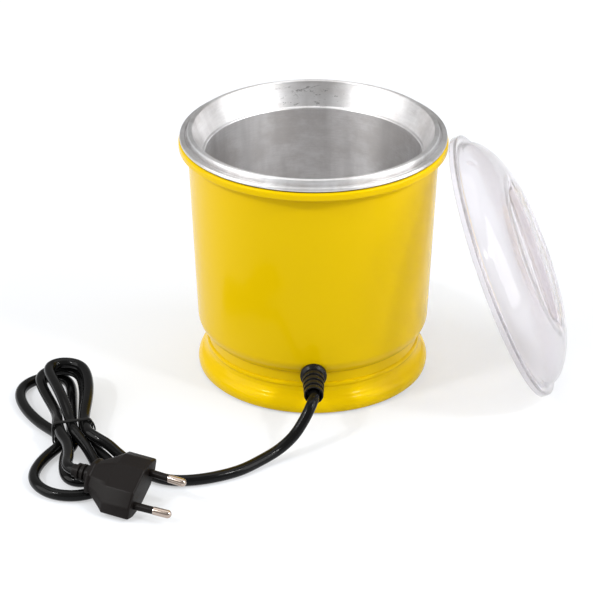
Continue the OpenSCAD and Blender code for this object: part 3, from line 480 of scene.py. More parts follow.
def lathe(profile, count=192, closed=False):
    """Points and faces of (radius, height) points turned about Z."""
    points, rings, faces = [], [], []
    for r, z in profile:
        on_axis = abs(r) < 1e-6
        rings.append(range(len(points), len(points) + (1 if on_axis else count)))
        points += [(0.0, 0.0, z)] if on_axis else [(x, y, z) for x, y in circle(r, count)]
    for a, b in zip(rings, rings[1:] + rings[:1] if closed else rings[1:]):
        for k in range(count if len(a) + len(b) > 2 else 0):
            n = (k + 1) % count
            if len(a) == 1:
                faces.append((a[0], b[k], b[n]))
            elif len(b) == 1:
                faces.append((a[k], b[0], a[n]))
            else:
                faces.append((a[k], b[k], b[n], a[n]))
    return points, faces


def joined(*solids):
    """The points and faces of several solids as one."""
    points, faces = [], []
    for more, more_faces in solids:
        faces += [tuple(v + len(points) for v in f) for f in more_faces]
        points += more
    return points, faces


lean = math.atan((PIN_GAP - PIN_TIP_GAP) / 2 / PIN_L)
pin_places = [
    FROM_PLUG
    @ Matrix.Translation((side * PIN_GAP / 2, 0, 0))
    @ Matrix.Rotation(-side * lean, 4, "Y")
    for side in (-1, 1)
]


def on_both_pins(profile, closed=False):
    """A turned solid, once at the place of each pin."""
    points, faces = lathe(profile, PIN_SPOKES, closed)
    return joined(*((moved(points, place), faces) for place in pin_places))


nickel = Finish("nickel_plate", {"Metallic": 1.0})
turning = nickel.noise(900)
stain = nickel.noise(260, 4, 0.6)
nickel.look(
    nickel.mix(stain, (0.50, 0.42, 0.36), (0.42, 0.34, 0.29)),
    0.12 + stain * 0.08,
    turning, 0.0006,
)
pin_profile = profile_of([
    (0, -PIN_ROOT), (PIN_NECK_R, -PIN_ROOT), (PIN_NECK_R, SLEEVE_L - 0.05),
    (PIN_D / 2, SLEEVE_L, 0.12), (PIN_D / 2, PIN_L - PIN_D / 2),
])
pin_profile += arc(0, PIN_L - PIN_D / 2, PIN_D / 2, 0, 90, 8)[1:]
sleeve_profile = profile_of([
    (PIN_NECK_R + 0.02, 0.0), (SLEEVE_R, 0.0, 0.1), (SLEEVE_R - 0.06, SLEEVE_L - 0.1, 0.2),
    (PIN_NECK_R + 0.02, SLEEVE_L - 0.04),
])
pins = obj_from("plug_pins_plated", *on_both_pins(pin_profile), nickel)
sleeves = obj_from("plug_pin_sleeves", *on_both_pins(sleeve_profile, True), satin)
for piece, node, slot in (
    (pins, "plug_pins", "pin_metal"), (sleeves, "plug_sleeves", "plug_black")
):
    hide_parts(node)
    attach(piece, "heater")

# ---
# Cord tie. A thin black plastic strap pulled tight round the six strands at the hank's waist,
# its short loose end bent down over the strands beside it. The strap is swept round the
# strands' outline.
TIE_T, TIE_W, TIE_PLAY, TIE_BEND, TIE_EDGE = 0.8, 2.0, 0.15, 2.9, 0.25
TIE_END = ((-0.9, -1.6), (0.3, -2.6), (1.0, -4.4), (1.3, -6.4))
waist_frame = (
    Matrix.Translation((*WAIST, 0))
    @ Matrix.Rotation(math.radians(WAIST_TURN - 90), 4, "Z")
    @ Matrix.Rotation(math.radians(90), 4, "X")
)
tie_off = CORD_D / 2 + TIE_PLAY + TIE_T / 2
tie_x, tie_low, tie_high = STRAND_GAP + tie_off, LOW_Z - tie_off, HIGH_Z + tie_off
tie_corners = [(tie_x, tie_low), (tie_x, tie_high), (-tie_x, tie_high), (-tie_x, tie_low)]
tie_course = [(x, y, 0) for x, y in filleted(tie_corners, TIE_BEND, 8)]
tie_end_course = through([(tie_x + x, tie_high + y, 0) for x, y in TIE_END], 5)
thin, broad = TIE_T / 2, TIE_W / 2
tie_section = filleted(
    [(thin, broad), (thin, -broad), (-thin, -broad), (-thin, broad)], TIE_EDGE, 2
)

strap = Finish("black_strap_plastic", {"Specular IOR Level": 0.14})
strap.look(
    (0.009, 0.009, 0.009, 1),
    0.26 + strap.noise(300, 3) * 0.2,
    strap.noise(900, 3), 0.03,
)
tie_solids = sweep(tie_course, tie_section, True), sweep(tie_end_course, tie_section)
tie = obj_from("cord_strap", *joined(*tie_solids), strap, waist_frame)
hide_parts("cord_tie")
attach(tie, "heater")

# ---
# Cord boot. A moulded black rubber boot pushed through the shell: a domed flange against the
# wall, four soft ribs and a bell mouth round the cord. It is turned about the cord's axis.
BOOT_Z, BOOT_SEAT, BOOT_L, BOOT_FLANGE_R, BOOT_FLANGE_T = 23.5, 60.0, 20.0, 6.7, 2.6
BOOT_BIG_R, BOOT_END_R, BOOT_RIBS, BOOT_CUP_R, BOOT_CUP = 5.5, 4.85, 4, 4.0, 4.0
BOOT_IN, BOOT_NECK_R, BOOT_SPOKES = 52, 4.6, 96
RIB_DEPTH, GROOVE_END, RIB_START = 0.95, 0.28, 0.36
ribs_at, mouth = BOOT_SEAT + BOOT_FLANGE_T, BOOT_SEAT + BOOT_L
rib_l = (BOOT_L - BOOT_FLANGE_T) / BOOT_RIBS
boot_corners = [
    (0, BOOT_IN), (BOOT_NECK_R + 0.7, BOOT_IN, 0.5), (BOOT_NECK_R, BOOT_IN + 2, 0.4),
    (BOOT_NECK_R, BOOT_SEAT - 5.0, 0.4), (BOOT_FLANGE_R - 0.5, BOOT_SEAT - 4.4, 0.4),
    (BOOT_FLANGE_R, BOOT_SEAT + 0.2, 0.5), (BOOT_FLANGE_R, BOOT_SEAT + 1.1, 1.2),
    (BOOT_FLANGE_R - 1.5, ribs_at, 0.8),
]
for rib in range(BOOT_RIBS):
    wide = BOOT_BIG_R + (BOOT_END_R - BOOT_BIG_R) * rib / (BOOT_RIBS - 1)
    start = ribs_at + rib * rib_l
    boot_corners += [
        (wide - RIB_DEPTH, start, 0.35), (wide - RIB_DEPTH, start + GROOVE_END * rib_l, 0.4),
        (wide, start + RIB_START * rib_l, 0.65), (wide, start + rib_l, 0.5),
    ]
boot_corners += [
    (BOOT_CUP_R + 0.1, mouth, 0.35), (BOOT_CUP_R - 0.3, mouth - BOOT_CUP, 0.5),
    (CORD_D / 2 + 0.05, mouth - BOOT_CUP, 0.2), (CORD_D / 2 - 0.1, mouth - BOOT_CUP - 1),
    (0, mouth - BOOT_CUP - 1),
]
boot_frame = Matrix.Translation((0, 0, BOOT_Z)) @ Matrix.Rotation(math.radians(90), 4, "X")

rubber = Finish("black_rubber", {"Specular IOR Level": 0.14})
fine = rubber.noise(1700, 4, 0.65)
bloom = rubber.noise(180, 4)
rubber.look(
    rubber.mix(bloom, (0.005, 0.005, 0.005), (0.015, 0.014, 0.014)),
    0.20 + bloom * 0.16,
    fine, 0.03,
)
boot_turned = lathe(profile_of(boot_corners, 0.3), BOOT_SPOKES)
boot = obj_from("cord_boot", *boot_turned, rubber, boot_frame)
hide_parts("strain_relief")
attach(boot, "heater")

# ---
# Outer shell. Deep-drawn 1.2 mm sheet steel, gloss yellow enamel: a wall that leans outwards,
# a rolled lip with a turned-down edge, a rounded bottom corner and a neck that stands in the
# foot. It is turned as one wall and drilled for the boot.
SHELL_H, NECK_R, NECK_H, FOOT_H, SHEET, CORNER_R = 127.4, 54.5, 6.7, 15.0, 1.2, 11.0
WALL_LOW_R, WALL_TOP_R, LIP_R, LIP_H, THROAT_R = 59.7, 63.5, 67.9, 4.0, 44.0
HOLE_R, HOLE_FROM, HOLE_TO, HOLE_SPOKES = 4.85, 50, 66, 48
SHELL_SPOKES, CORNER_STEPS = 256, 14
CORNER_CR = WALL_LOW_R - CORNER_R
neck_angle = math.acos((NECK_R - CORNER_CR) / CORNER_R)
CORNER_Z = FOOT_H + NECK_H + CORNER_R * math.sin(neck_angle)


def wall_r(height):
    """The radius of the shell's wall at a height."""
    return WALL_LOW_R + (WALL_TOP_R - WALL_LOW_R) * (height - CORNER_Z) / (SHELL_H - CORNER_Z)


def settled(piece):
    """Turns what a piece's modifiers give into its plain mesh and takes the modifiers off."""
    graph = bpy.context.evaluated_depsgraph_get()
    baked = bpy.data.meshes.new_from_object(piece.evaluated_get(graph))
    piece.modifiers.clear()
    piece.data = baked
    return piece


def cut_out(piece, tool, weld=1e-6):
    """Takes the tool's solid out of the piece and welds the points that the cut left double."""
    cut = piece.modifiers.new("cut", "BOOLEAN")
    cut.operation, cut.object, cut.solver = "DIFFERENCE", tool, "EXACT"
    settled(piece)
    bpy.data.objects.remove(tool)
    work = bmesh.new()
    work.from_mesh(piece.data)
    bmesh.ops.remove_doubles(work, verts=work.verts, dist=weld)
    work.to_mesh(piece.data)
    work.free()


corner_turn = math.degrees(neck_angle)
wall_heights = [CORNER_Z + (SHELL_H - CORNER_Z) * s for s in (0.05, 0.2, 0.4, 0.6, 0.8, 0.93)]
under_lip, lip_in, lip_low = SHELL_H - SHEET - 0.1, LIP_R - SHEET, SHELL_H - LIP_H
shell_profile = profile_of(
    [(THROAT_R, FOOT_H + SHEET, 0.3), (THROAT_R, FOOT_H, 0.3), (NECK_R, FOOT_H, 0.8)]
    + arc(CORNER_CR, CORNER_Z, CORNER_R, -corner_turn, 0, CORNER_STEPS)
    + [(wall_r(h), h) for h in wall_heights]
    + [
        (WALL_TOP_R - 0.05, under_lip, 0.5), (lip_in, under_lip, 0.5), (lip_in, lip_low, 0.3),
        (LIP_R - 0.1, lip_low, 0.5), (LIP_R, SHELL_H, 1.5), (WALL_TOP_R - SHEET, SHELL_H, 0.6),
    ]
    + [(wall_r(h) - SHEET, h) for h in reversed(wall_heights)]
    + arc(CORNER_CR, CORNER_Z, CORNER_R - SHEET, 0, -corner_turn, CORNER_STEPS)
    + [(NECK_R - SHEET, FOOT_H + SHEET, 0.5)],
    0.8, closed=True,
)

enamel = Finish("yellow_enamel", {
    "Coat Weight": 0.08, "Coat Roughness": 0.07, "Specular IOR Level": 0.16,
    "Specular Tint": (1.0, 0.74, 0.04, 1.0),
})
peel = enamel.noise(520, 3, 0.55)
drift = enamel.noise(16, 3)
specks = enamel.noise(900).within(0.74, 0.8)
# Slight wear along the edge of the lip
z = enamel.parts(enamel.place())[2]
edge_wear = z.within(0.1266, 0.1275) - z.within(0.1278, 0.129)
edge_wear = edge_wear * enamel.noise(260, 4).within(0.55, 0.75)
colour = enamel.mix(drift, (0.765, 0.507, 0.0004), (0.805, 0.535, 0.0006))
colour = enamel.mix(specks * 0.2, colour, (0.66, 0.40, 0.002))
enamel.look(
    enamel.mix(edge_wear * 0.35, colour, (0.62, 0.42, 0.06)),
    0.18 + drift * 0.08 + specks * 0.1,
    peel, 0.012,
)
shell = obj_from("outer_shell", *lathe(shell_profile, SHELL_SPOKES, True), enamel)
drill = [(0, HOLE_FROM), (HOLE_R, HOLE_FROM), (HOLE_R, HOLE_TO), (0, HOLE_TO)]
cut_out(shell, obj_from("drill", *lathe(drill, HOLE_SPOKES), enamel, boot_frame))
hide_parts("body_shell")
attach(shell, "heater")

# ---
# Foot. A second drawing of the same sheet in the same enamel: an inner flange under the
# shell's, a bead that grips the neck and a skirt that flares out to the table.
FLARE_R, FLARE_Z, FLARE_TURN, FLARE_STEPS, FOOT_R, EDGE_GAP = 7.0, 3.5, 56, 12, 59.9, 0.8
flare_cr, skirt_in = FOOT_R - FLARE_R, NECK_R + 0.3 - SHEET
foot_profile = profile_of(
    [
        (THROAT_R, FOOT_H - SHEET, 0.3), (THROAT_R, FOOT_H, 0.3), (NECK_R + 0.02, FOOT_H, 0.2),
        (NECK_R + 0.03, FOOT_H + 1.5, 0.1), (NECK_R + 0.85, FOOT_H + 0.9, 0.6),
        (NECK_R + 1.15, FOOT_H - 0.1, 0.5), (NECK_R + 0.6, FOOT_H - 1.3, 0.8),
        (NECK_R + 0.9, FOOT_H - 3.2, 0.9),
    ]
    + arc(flare_cr, FLARE_Z, FLARE_R, FLARE_TURN, 0, FLARE_STEPS)
    + [(FOOT_R - 0.3, 1.6, 0.8), (FOOT_R - 1.1, EDGE_GAP, 0.5), (FOOT_R - 2.4, EDGE_GAP, 0.4)]
    + arc(flare_cr, FLARE_Z, FLARE_R - SHEET, 0, FLARE_TURN, FLARE_STEPS)
    + [(skirt_in, FOOT_H - 2.6, 0.5), (skirt_in, FOOT_H - SHEET, 0.4)],
    0.8, closed=True,
)
foot = obj_from("flared_foot", *lathe(foot_profile, SHELL_SPOKES, True), enamel)
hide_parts("base_ring")
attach(foot, "heater")

# ---
# Pot. Spun from 1.5 mm aluminium sheet in one piece: a flange with a rolled bead on the lip,
# a raised rim ring, a funnel mouth that ends in a narrow ledge, and the well below it.
POT_T, JACKET, POT_FLOOR, POT_CORNER_R, LEDGE_DEPTH, LEDGE_W = 1.5, 5.6, 42.0, 8.0, 7.9, 1.2
RIM_TOP, RIM_W, FLANGE_H, FLANGE_Z, FLANGE_R, POT_SPOKES = 132.6, 3.0, 1.8, 128.0, 67.5, 288


def pot_in(height):
    """The radius of the well's inner face at a height."""
    return wall_r(height) - SHEET - JACKET - POT_T


ledge_z, bowl_top = SHELL_H - LEDGE_DEPTH, POT_FLOOR + POT_CORNER_R
bowl_c = pot_in(bowl_top) - POT_CORNER_R
ledge_in = pot_in(ledge_z)
funnel_low = ledge_in + LEDGE_W
rim_in = WALL_TOP_R - SHEET - 1.8
rim_out, groove_r = rim_in + RIM_W, rim_in + RIM_W + 0.2
well_rows = [(pot_in(h), h) for h in (60, 75, 90, 105, 116)]
pot_profile = profile_of(
    [(0, POT_FLOOR), (12, POT_FLOOR), (26, POT_FLOOR), (40, POT_FLOOR)]
    + arc(bowl_c, bowl_top, POT_CORNER_R, -90, 0, 12)
    + well_rows
    + [
        (ledge_in - 0.1, ledge_z - 0.25, 0.35), (ledge_in + 0.2, ledge_z + 0.15, 0.3),
        (funnel_low, ledge_z + 0.5, 0.6), (rim_in + 0.05, RIM_TOP - 1.4, 0.6),
        (rim_in + 0.35, RIM_TOP - 0.35, 0.7), (rim_in + RIM_W / 2, RIM_TOP + 0.05, 0.9),
        (rim_out - 0.35, RIM_TOP - 0.35, 0.7), (rim_out, RIM_TOP - 1.6, 0.6),
        (groove_r - 0.05, FLANGE_Z + 0.8, 0.5), (groove_r + 0.7, FLANGE_Z + 0.85, 0.4),
        (groove_r + 1.1, FLANGE_Z + FLANGE_H, 0.7),
        (FLANGE_R - 0.5, FLANGE_Z + FLANGE_H - 0.05, 0.8), (FLANGE_R, FLANGE_Z, 0.6),
        (rim_in + 1.6, FLANGE_Z, 0.5), (funnel_low + 1.6, ledge_z - 0.2, 0.5),
        (ledge_in + POT_T, ledge_z - 0.6, 0.4),
    ]
    + [(r + POT_T, h) for r, h in reversed(well_rows)]
    + arc(bowl_c, bowl_top, POT_CORNER_R + POT_T, 0, -90, 12)
    + [(20, POT_FLOOR - POT_T), (0, POT_FLOOR - POT_T)]
)

aluminium = Finish(
    "spun_aluminium", {"Metallic": 1.0, "Anisotropic": 0.6, "Anisotropic Rotation": 0.25}
)
x, y, z = aluminium.parts(aluminium.place())
radius = (x * x + y * y) ** 0.5
bearing = [x / radius, y / radius]


def round_pot(along, across, scale, detail, roughness):
    """A pattern that changes by along with the bearing, and by across up and down the wall."""
    over = aluminium.join(bearing[0] * along, bearing[1] * along, across)
    return aluminium.noise(scale, detail, roughness, over=over)


# Tool lines run round the pot, so their pattern hardly changes with the bearing
lines = round_pot(0.004, z - radius, 1500, 5, 0.75)
swirl = round_pot(0.02, (z - radius) * 0.6, 420, 4, 0.7)
smear = round_pot(0.9, z * 26, 2.4, 5, 0.65)
rays = round_pot(3.1, z * 9, 1.0, 4, 0.6)
cloud = aluminium.noise(28, 4, 0.6)
# Rub marks where a spoon has scraped the funnel at the back, and short scratches round it
funnel = z.within(0.119, 0.121) - z.within(0.129, 0.131)
slanted = aluminium.join(x * 0.55 + z * 0.9, y * 0.5, z * 1.6 - x * 0.5)
scrape = aluminium.noise(330, 5, 0.75, over=slanted).within(0.56, 0.64)
rear = y.within(0.05, 0.057) * (x.within(-0.028, -0.016) - x.within(0.010, 0.022))
marks = scrape * funnel * (0.08 + rear * 0.92)
tone = aluminium.mix(smear.within(0.36, 0.66), (0.86, 0.855, 0.86), (0.66, 0.64, 0.63))
tone = aluminium.mix(rays.within(0.42, 0.68) * 0.5, tone, (0.52, 0.51, 0.51))
tone = aluminium.mix(lines.within(0.35, 0.75) * 0.3, tone, (0.56, 0.555, 0.56))
aluminium.look(
    aluminium.mix(marks * 0.8, tone, (0.24, 0.23, 0.23)),
    0.30 + smear * 0.14 + swirl * 0.08 + marks * 0.2,
    lines * 0.7 + swirl * 0.5 + cloud * 1.6, 0.05,
)
pot = obj_from("spun_pot", *lathe(pot_profile, POT_SPOKES), aluminium)
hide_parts("inner_pot")
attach(pot, "heater")

# ---
# Lid. Moulded clear plastic with a faint lavender tint: a low dome on a flat brim, and in the
# dome a round recess with a grip bar left standing across it. Outer and inner faces are two
# fields of heights over the same rings, joined round the brim. It is leaned on the pot.
LID_R, LID_T, BRIM_T, BRIM_H, LID_SPOKES = 69.5, 1.6, 1.3, 4.0, 320
DOME_R, DOME_H, DOME_FLAT, DOME_ROUND = 65.6, 19.7, 2.85, 0.55
RECESS_R, RECESS_Z, RECESS_EDGE, RECESS_FALL = 34.5, 16.4, 8.0, 1.8
BAR_W, BAR_TURN, BAR_SIDE = 9.0, -24.4, (-1.2, 2.6)
NIB_AT, NIB_H, NIB_R = (-63.4, -8.4), 1.2, 1.5
LID_TILT, LID_TURN = 66.6, -4.2
LID_AT = (94.343, -19.1, LID_R * math.sin(math.radians(LID_TILT)))
FINE_R, STEEP_R = 46.5, DOME_R - 0.35
# Rings of the dome: from, to and how many
FLAT_RINGS, FINE_RINGS = (1.2, 30, 34), (30.3, FINE_R, 55)
STEEP_RINGS = (FINE_R + 0.7, STEEP_R, 24)


def eased(value, low, high):
    """0 below low, 1 above high and a smooth step between them."""
    share = clamped((value - low) / (high - low))
    return share * share * (3 - 2 * share)


def lid_height(x, y, wall):
    """The outer face of the lid at a place, or the inner one for a wall below it."""
    r = math.hypot(x, y)
    dome = max(0.0, 1 - (r / (DOME_R - wall)) ** DOME_FLAT) ** DOME_ROUND
    dome = BRIM_H + (DOME_H - wall) * dome
    if wall == 0:
        dome += NIB_H * math.exp(-(math.dist((x, y), NIB_AT) / NIB_R) ** 2)
    beside = abs(turned((x, y), -BAR_TURN)[1]) - (BAR_W / 2 - wall)
    share = clamped(1 + (RECESS_R + wall - r) / RECESS_EDGE) ** RECESS_FALL
    share *= eased(beside, *BAR_SIDE)
    return dome * (1 - share) + (RECESS_Z - wall) * share


def lid_ring(r, wall):
    return [(x, y, lid_height(x, y, wall)) for x, y in circle(r, LID_SPOKES)]


radii = [*np.linspace(*FLAT_RINGS), *np.linspace(*FINE_RINGS)]
steep_radii = np.linspace(*STEEP_RINGS)
squeeze = (STEEP_R - LID_T - FINE_R) / (STEEP_R - FINE_R)
inner_radii = radii + [FINE_R + (r - FINE_R) * squeeze for r in steep_radii]
brim = profile_of([
    (DOME_R - 0.05, BRIM_H + 1.6), (DOME_R + 0.05, BRIM_H, 0.8), (LID_R, BRIM_H, 0.9),
    (LID_R, 0, 0.35), (LID_R - BRIM_T, 0, 0.35), (LID_R - BRIM_T - 0.1, BRIM_H - LID_T, 0.5),
    (DOME_R - LID_T + 0.2, BRIM_H - LID_T, 0.9), (DOME_R - LID_T - 0.1, BRIM_H + 0.9),
], 0.3)
rings = [lid_ring(r, 0) for r in (*radii, *steep_radii)]
rings += [[(x, y, z) for x, y in circle(r, LID_SPOKES)] for r, z in brim]
rings += [lid_ring(r, LID_T) for r in reversed(inner_radii)]
lid_frame = (
    Matrix.Translation(LID_AT)
    @ Matrix.Rotation(math.radians(LID_TURN), 4, "Z")
    @ Matrix.Rotation(math.radians(LID_TILT), 4, "Y")
)

clear = Finish("clear_plastic", {
    "Transmission Weight": 0.88, "IOR": 1.3, "Specular IOR Level": 0.25, "Coat Weight": 0.06,
})
haze = clear.noise(24, 4, 0.6)
ripple = clear.noise(60)
hair = clear.noise(700, 5, 0.7).within(0.66, 0.72)
clear.look(
    clear.mix(haze, (0.93, 0.91, 0.935), (0.89, 0.868, 0.90)),
    0.07 + haze * 0.10 + hair * 0.12,
    ripple + hair * 0.1, 0.03,
)
lid = obj_from("clear_lid", *loft(rings), clear, lid_frame, sharp=60)
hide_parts("lid")
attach(lid, "lid")

# ---
# Rim gasket. A thin ring of black silicone rubber under the pot's flange, squeezed on the
# shell's lip so that it bulges a little; its black also paints the shade in the gap between
# flange and lip. It is turned about the pot's axis.
GASKET_T, GASKET_OUT_R, GASKET_IN_R = 0.6, LIP_R - 1.4, WALL_TOP_R - SHEET - 0.3
GASKET_PLAY, GASKET_BULGE = 0.02, 0.25
gasket_low, gasket_high = SHELL_H + GASKET_PLAY, SHELL_H + GASKET_T - GASKET_PLAY
gasket_profile = profile_of([
    (GASKET_IN_R, gasket_low, 0.2), (GASKET_OUT_R, gasket_low, 0.28),
    (GASKET_OUT_R + GASKET_BULGE, SHELL_H + GASKET_T / 2, 0.2),
    (GASKET_OUT_R, gasket_high, 0.28), (GASKET_IN_R, gasket_high, 0.2),
], 0.2, closed=True)
# The ring is real, and its black is also painted shade that darkens the gap under the flange
gasket = obj_from("black_gasket_and_gap_shade", *lathe(gasket_profile, closed=True), rubber)
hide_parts("rim_gasket")
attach(gasket, "heater")

# ---
# Bottom cover. A zinc-plated steel pan that closes the foot, with a rolled-up edge, two pressed
# rings and twelve slots that let air in under the heater. The slots are cut by a ring of tools.
COVER_Z, COVER_T, COVER_R, COVER_EDGE, COVER_HEM = 3.0, 1.2, FOOT_R - SHEET - 1.6, 3.6, 0.9
INNER_RISE, OUTER_RISE = 0.7, 0.5
VENTS, VENT_RING, VENT_L, VENT_W = 12, THROAT_R - 16, 14.0, 3.0


def ring_of(piece, finish, count, ring_radius, first_angle):
    """Copies of a piece round the pot's axis, each turned to look away from it."""
    group = bpy.data.node_groups.new("ring_of_copies", "GeometryNodeTree")
    kinds = {
        "Geometry": "Geometry", "Count": "Int", "Ring Radius": "Float", "First Angle": "Float",
    }
    ids = {}
    for label, kind in kinds.items():
        socket = group.interface.new_socket(label, in_out="INPUT", socket_type="NodeSocket" + kind)
        ids[label] = socket.identifier
    group.interface.new_socket("Ring", in_out="OUTPUT", socket_type="NodeSocketGeometry")
    tree, given = Tree(group), group.nodes.new("NodeGroupInput").outputs
    geometry, number, away, first = (Value(tree, given[label]) for label in ids)
    angle = tree.node("GeometryNodeInputIndex") * (math.tau / number) + first
    spots = tree.node("GeometryNodePoints", sockets={
        "Count": number, "Position": tree.join(angle.cosine() * away, angle.sine() * away, 0.0),
    })
    copies = tree.node("GeometryNodeInstanceOnPoints", sockets={
        "Points": spots, "Instance": geometry, "Rotation": tree.join(0.0, 0.0, angle),
    })
    real = tree.node("GeometryNodeRealizeInstances", sockets={"Geometry": copies})
    coated = {"Geometry": real, "Material": finish.material}
    ring = tree.node("GeometryNodeSetMaterial", sockets=coated)
    tree.put(group.nodes.new("NodeGroupOutput"), {"Ring": ring})
    modifier = piece.modifiers.new(group.name, "NODES")
    modifier.node_group = group
    modifier[ids["Count"]] = count
    modifier[ids["Ring Radius"]] = ring_radius * MM
    modifier[ids["First Angle"]] = math.radians(first_angle)
    return settled(piece)


def prism(outline, low, high):
    """Points and faces of a straight solid on an outline."""
    return loft([[(x, y, z) for x, y in outline] for z in (low, high)])


zinc = Finish("zinc_plated_steel", {"Metallic": 1.0})
spangle = zinc.node("ShaderNodeTexVoronoi", sockets={"Vector": zinc.place(), "Scale": 190.0})
rolled = zinc.noise(260, 4, 0.6, stretch=(1, 14, 14))
tarnish = zinc.noise(36, 4, 0.6)
zinc.look(
    zinc.mix(tarnish, (0.66, 0.67, 0.69), (0.44, 0.45, 0.455)),
    0.24 + spangle * 0.10 + tarnish * 0.14 + rolled * 0.06,
    rolled + spangle * 0.5, 0.02,
)
inner_top, outer_top, hem_r = COVER_T + INNER_RISE, COVER_T + OUTER_RISE, COVER_R - COVER_HEM
cover_profile = profile_of([(r, COVER_Z + rise, fillet) for r, rise, fillet in (
    (0, 0, 0), (9, 0, 1), (10.2, INNER_RISE, 1), (12.8, INNER_RISE, 1), (14, 0, 1),
    (39.6, 0, 0.8), (40.4, OUTER_RISE, 0.6), (41.6, OUTER_RISE, 0.6), (42.4, 0, 0.8),
    (COVER_R, 0, 1.6), (COVER_R, COVER_EDGE, 0.3), (hem_r, COVER_EDGE, 0.3), (hem_r, COVER_T, 0.9),
    (42.6, COVER_T, 0.8), (41.8, outer_top, 0.6), (40.2, outer_top, 0.6), (39.4, COVER_T, 0.8),
    (14.4, COVER_T, 1), (13.2, inner_top, 1), (9.8, inner_top, 1), (8.6, COVER_T, 1),
    (0, COVER_T, 0),
)])
cover = obj_from("bottom_cover_pan", *lathe(cover_profile), zinc)
vent = arc(VENT_L / 2, 0, VENT_W / 2, -90, 90, 8) + arc(-VENT_L / 2, 0, VENT_W / 2, 90, 270, 8)
vent_tool = prism(vent, COVER_Z - 1, COVER_Z + COVER_T + 1)
vent_tool = obj_from("slot_tool", *vent_tool, zinc, smooth=False)
cut_out(cover, ring_of(vent_tool, zinc, VENTS, VENT_RING, 180 / VENTS))
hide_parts("bottom_cover")
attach(cover, "heater")

# ---
# Rubber feet. Four moulded black rubber feet, hollow in the middle, whose barbed stems are
# pulled through the cover.
PADS, PAD_RING, PAD_R, PAD_HOLLOW, PAD_SPOKES = 4, THROAT_R + 3, 7.0, 1.3, 48
STEM_R, STEM_L = 2.5, 2.4
pad_top, cover_top = COVER_Z - 0.02, COVER_Z + COVER_T
pad_profile = profile_of([
    (0, PAD_HOLLOW), (3.0, PAD_HOLLOW, 0.6), (3.7, 0.0, 0.5), (PAD_R - 0.85, 0.0, 0.6),
    (PAD_R, pad_top, 0.4), (STEM_R, pad_top, 0.1), (STEM_R, cover_top + 0.1, 0.1),
    (STEM_R + 0.9, cover_top + 0.12, 0.2), (STEM_R - 0.5, cover_top + STEM_L, 0.3),
    (0, cover_top + STEM_L),
], 0.3)
pad = obj_from("rubber_foot_pads", *lathe(pad_profile, PAD_SPOKES), rubber)
feet = ring_of(pad, rubber, PADS, PAD_RING, 0)
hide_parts("rubber_feet")
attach(feet, "heater")

# ---
# Cover screws. Four zinc-plated pan-head screws with cross recesses, put in from below through
# the cover, its spacers and the two flanges into nuts on the shell's flange.
SCREWS, FIRST_SCREW, SCREW_RING = 4, 45, THROAT_R + 4
SCREW_R, SCREW_TOP, SCREW_SPOKES = 2.0, 19.6, 40
HEAD_R, HEAD_LOW, CROSS_L, CROSS_W, CROSS_TOP = 3.6, 0.8, 2.1, 0.42, 2.0
screw_profile = profile_of([
    (0, HEAD_LOW), (1.9, HEAD_LOW, 0.4), (HEAD_R, 1.7, 0.9), (HEAD_R, COVER_Z, 0.3),
    (SCREW_R, COVER_Z, 0.1), (SCREW_R, SCREW_TOP - 0.4, 0.1), (SCREW_R - 0.4, SCREW_TOP, 0.1),
    (0, SCREW_TOP),
], 0.3)
screws = obj_from("pan_head_screws", *lathe(screw_profile, SCREW_SPOKES), zinc)
for x, y in ((CROSS_L, CROSS_W), (CROSS_W, CROSS_L)):
    cross = prism([(x, y), (-x, y), (-x, -y), (x, -y)], HEAD_LOW - 0.5, CROSS_TOP)
    cut_out(screws, obj_from("cross_tool", *cross, zinc, smooth=False))
ring_of(screws, zinc, SCREWS, SCREW_RING, FIRST_SCREW)
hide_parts("cover_screws")
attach(screws, "heater")

# ---
# Inside the foot. The plain steel pieces that draw pot, shell and foot together and press the
# heater to the pot. They keep the CAD's shapes; zinc plating covers them.


def dress(finish, *nodes):
    """Gives the CAD's own pieces a finish."""
    for node in nodes:
        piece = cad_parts[node]
        if piece.data.materials:
            piece.material_slots[0].material = finish.material
        else:
            piece.data.materials.append(finish.material)


dress(
    zinc, "cover_spacers", "cover_nuts", "support_bridge", "bridge_washer", "bridge_nut",
    "shield_washer", "shield_nut", "centre_stud", "thermostat_bracket", "bracket_screws",
    "fuse_screw", "fuse_clip", "block_screw", "clamp_screws",
)

# ---
# Heater, its shield and the jacket's straps. Sheet steel that lives beside the element: straw
# and blue heat colours lie over the bare metal.
hot_steel = Finish("heat_tinted_steel", {"Metallic": 1.0})
heat = hot_steel.noise(30, 4, 0.6)
rolling = hot_steel.noise(300, 4, 0.6, stretch=(14, 1, 14))
straw = hot_steel.mix(heat.within(0.3, 0.55), (0.50, 0.49, 0.48), (0.50, 0.38, 0.22))
hot_steel.look(
    hot_steel.mix(heat.within(0.52, 0.72), straw, (0.22, 0.24, 0.32)),
    0.30 + heat * 0.2 + rolling * 0.08,
    rolling, 0.03,
)
dress(hot_steel, "heater_plate", "heat_shield", "wrap_straps")

# ---
# Insulation. A disc under the heater and a jacket round the pot of white ceramic-fibre felt,
# matted from short fibres and a little scorched.
felt = Finish("ceramic_fibre_felt", {"Sheen Weight": 0.15})
fibres = felt.noise(340, 6, 0.75, stretch=(1, 1, 5))
matted = felt.noise(1200, 4, 0.7)
scorch = felt.noise(26, 4, 0.6).within(0.5, 0.8)
loose = felt.mix(fibres.within(0.35, 0.7), (0.70, 0.67, 0.60), (0.88, 0.87, 0.82))
felt.look(
    felt.mix(scorch * 0.35, loose, (0.55, 0.45, 0.30)),
    0.88 + matted * 0.1,
    fibres + matted * 0.6, 0.4,
)
dress(felt, "insulation_disc", "insulation_wrap")

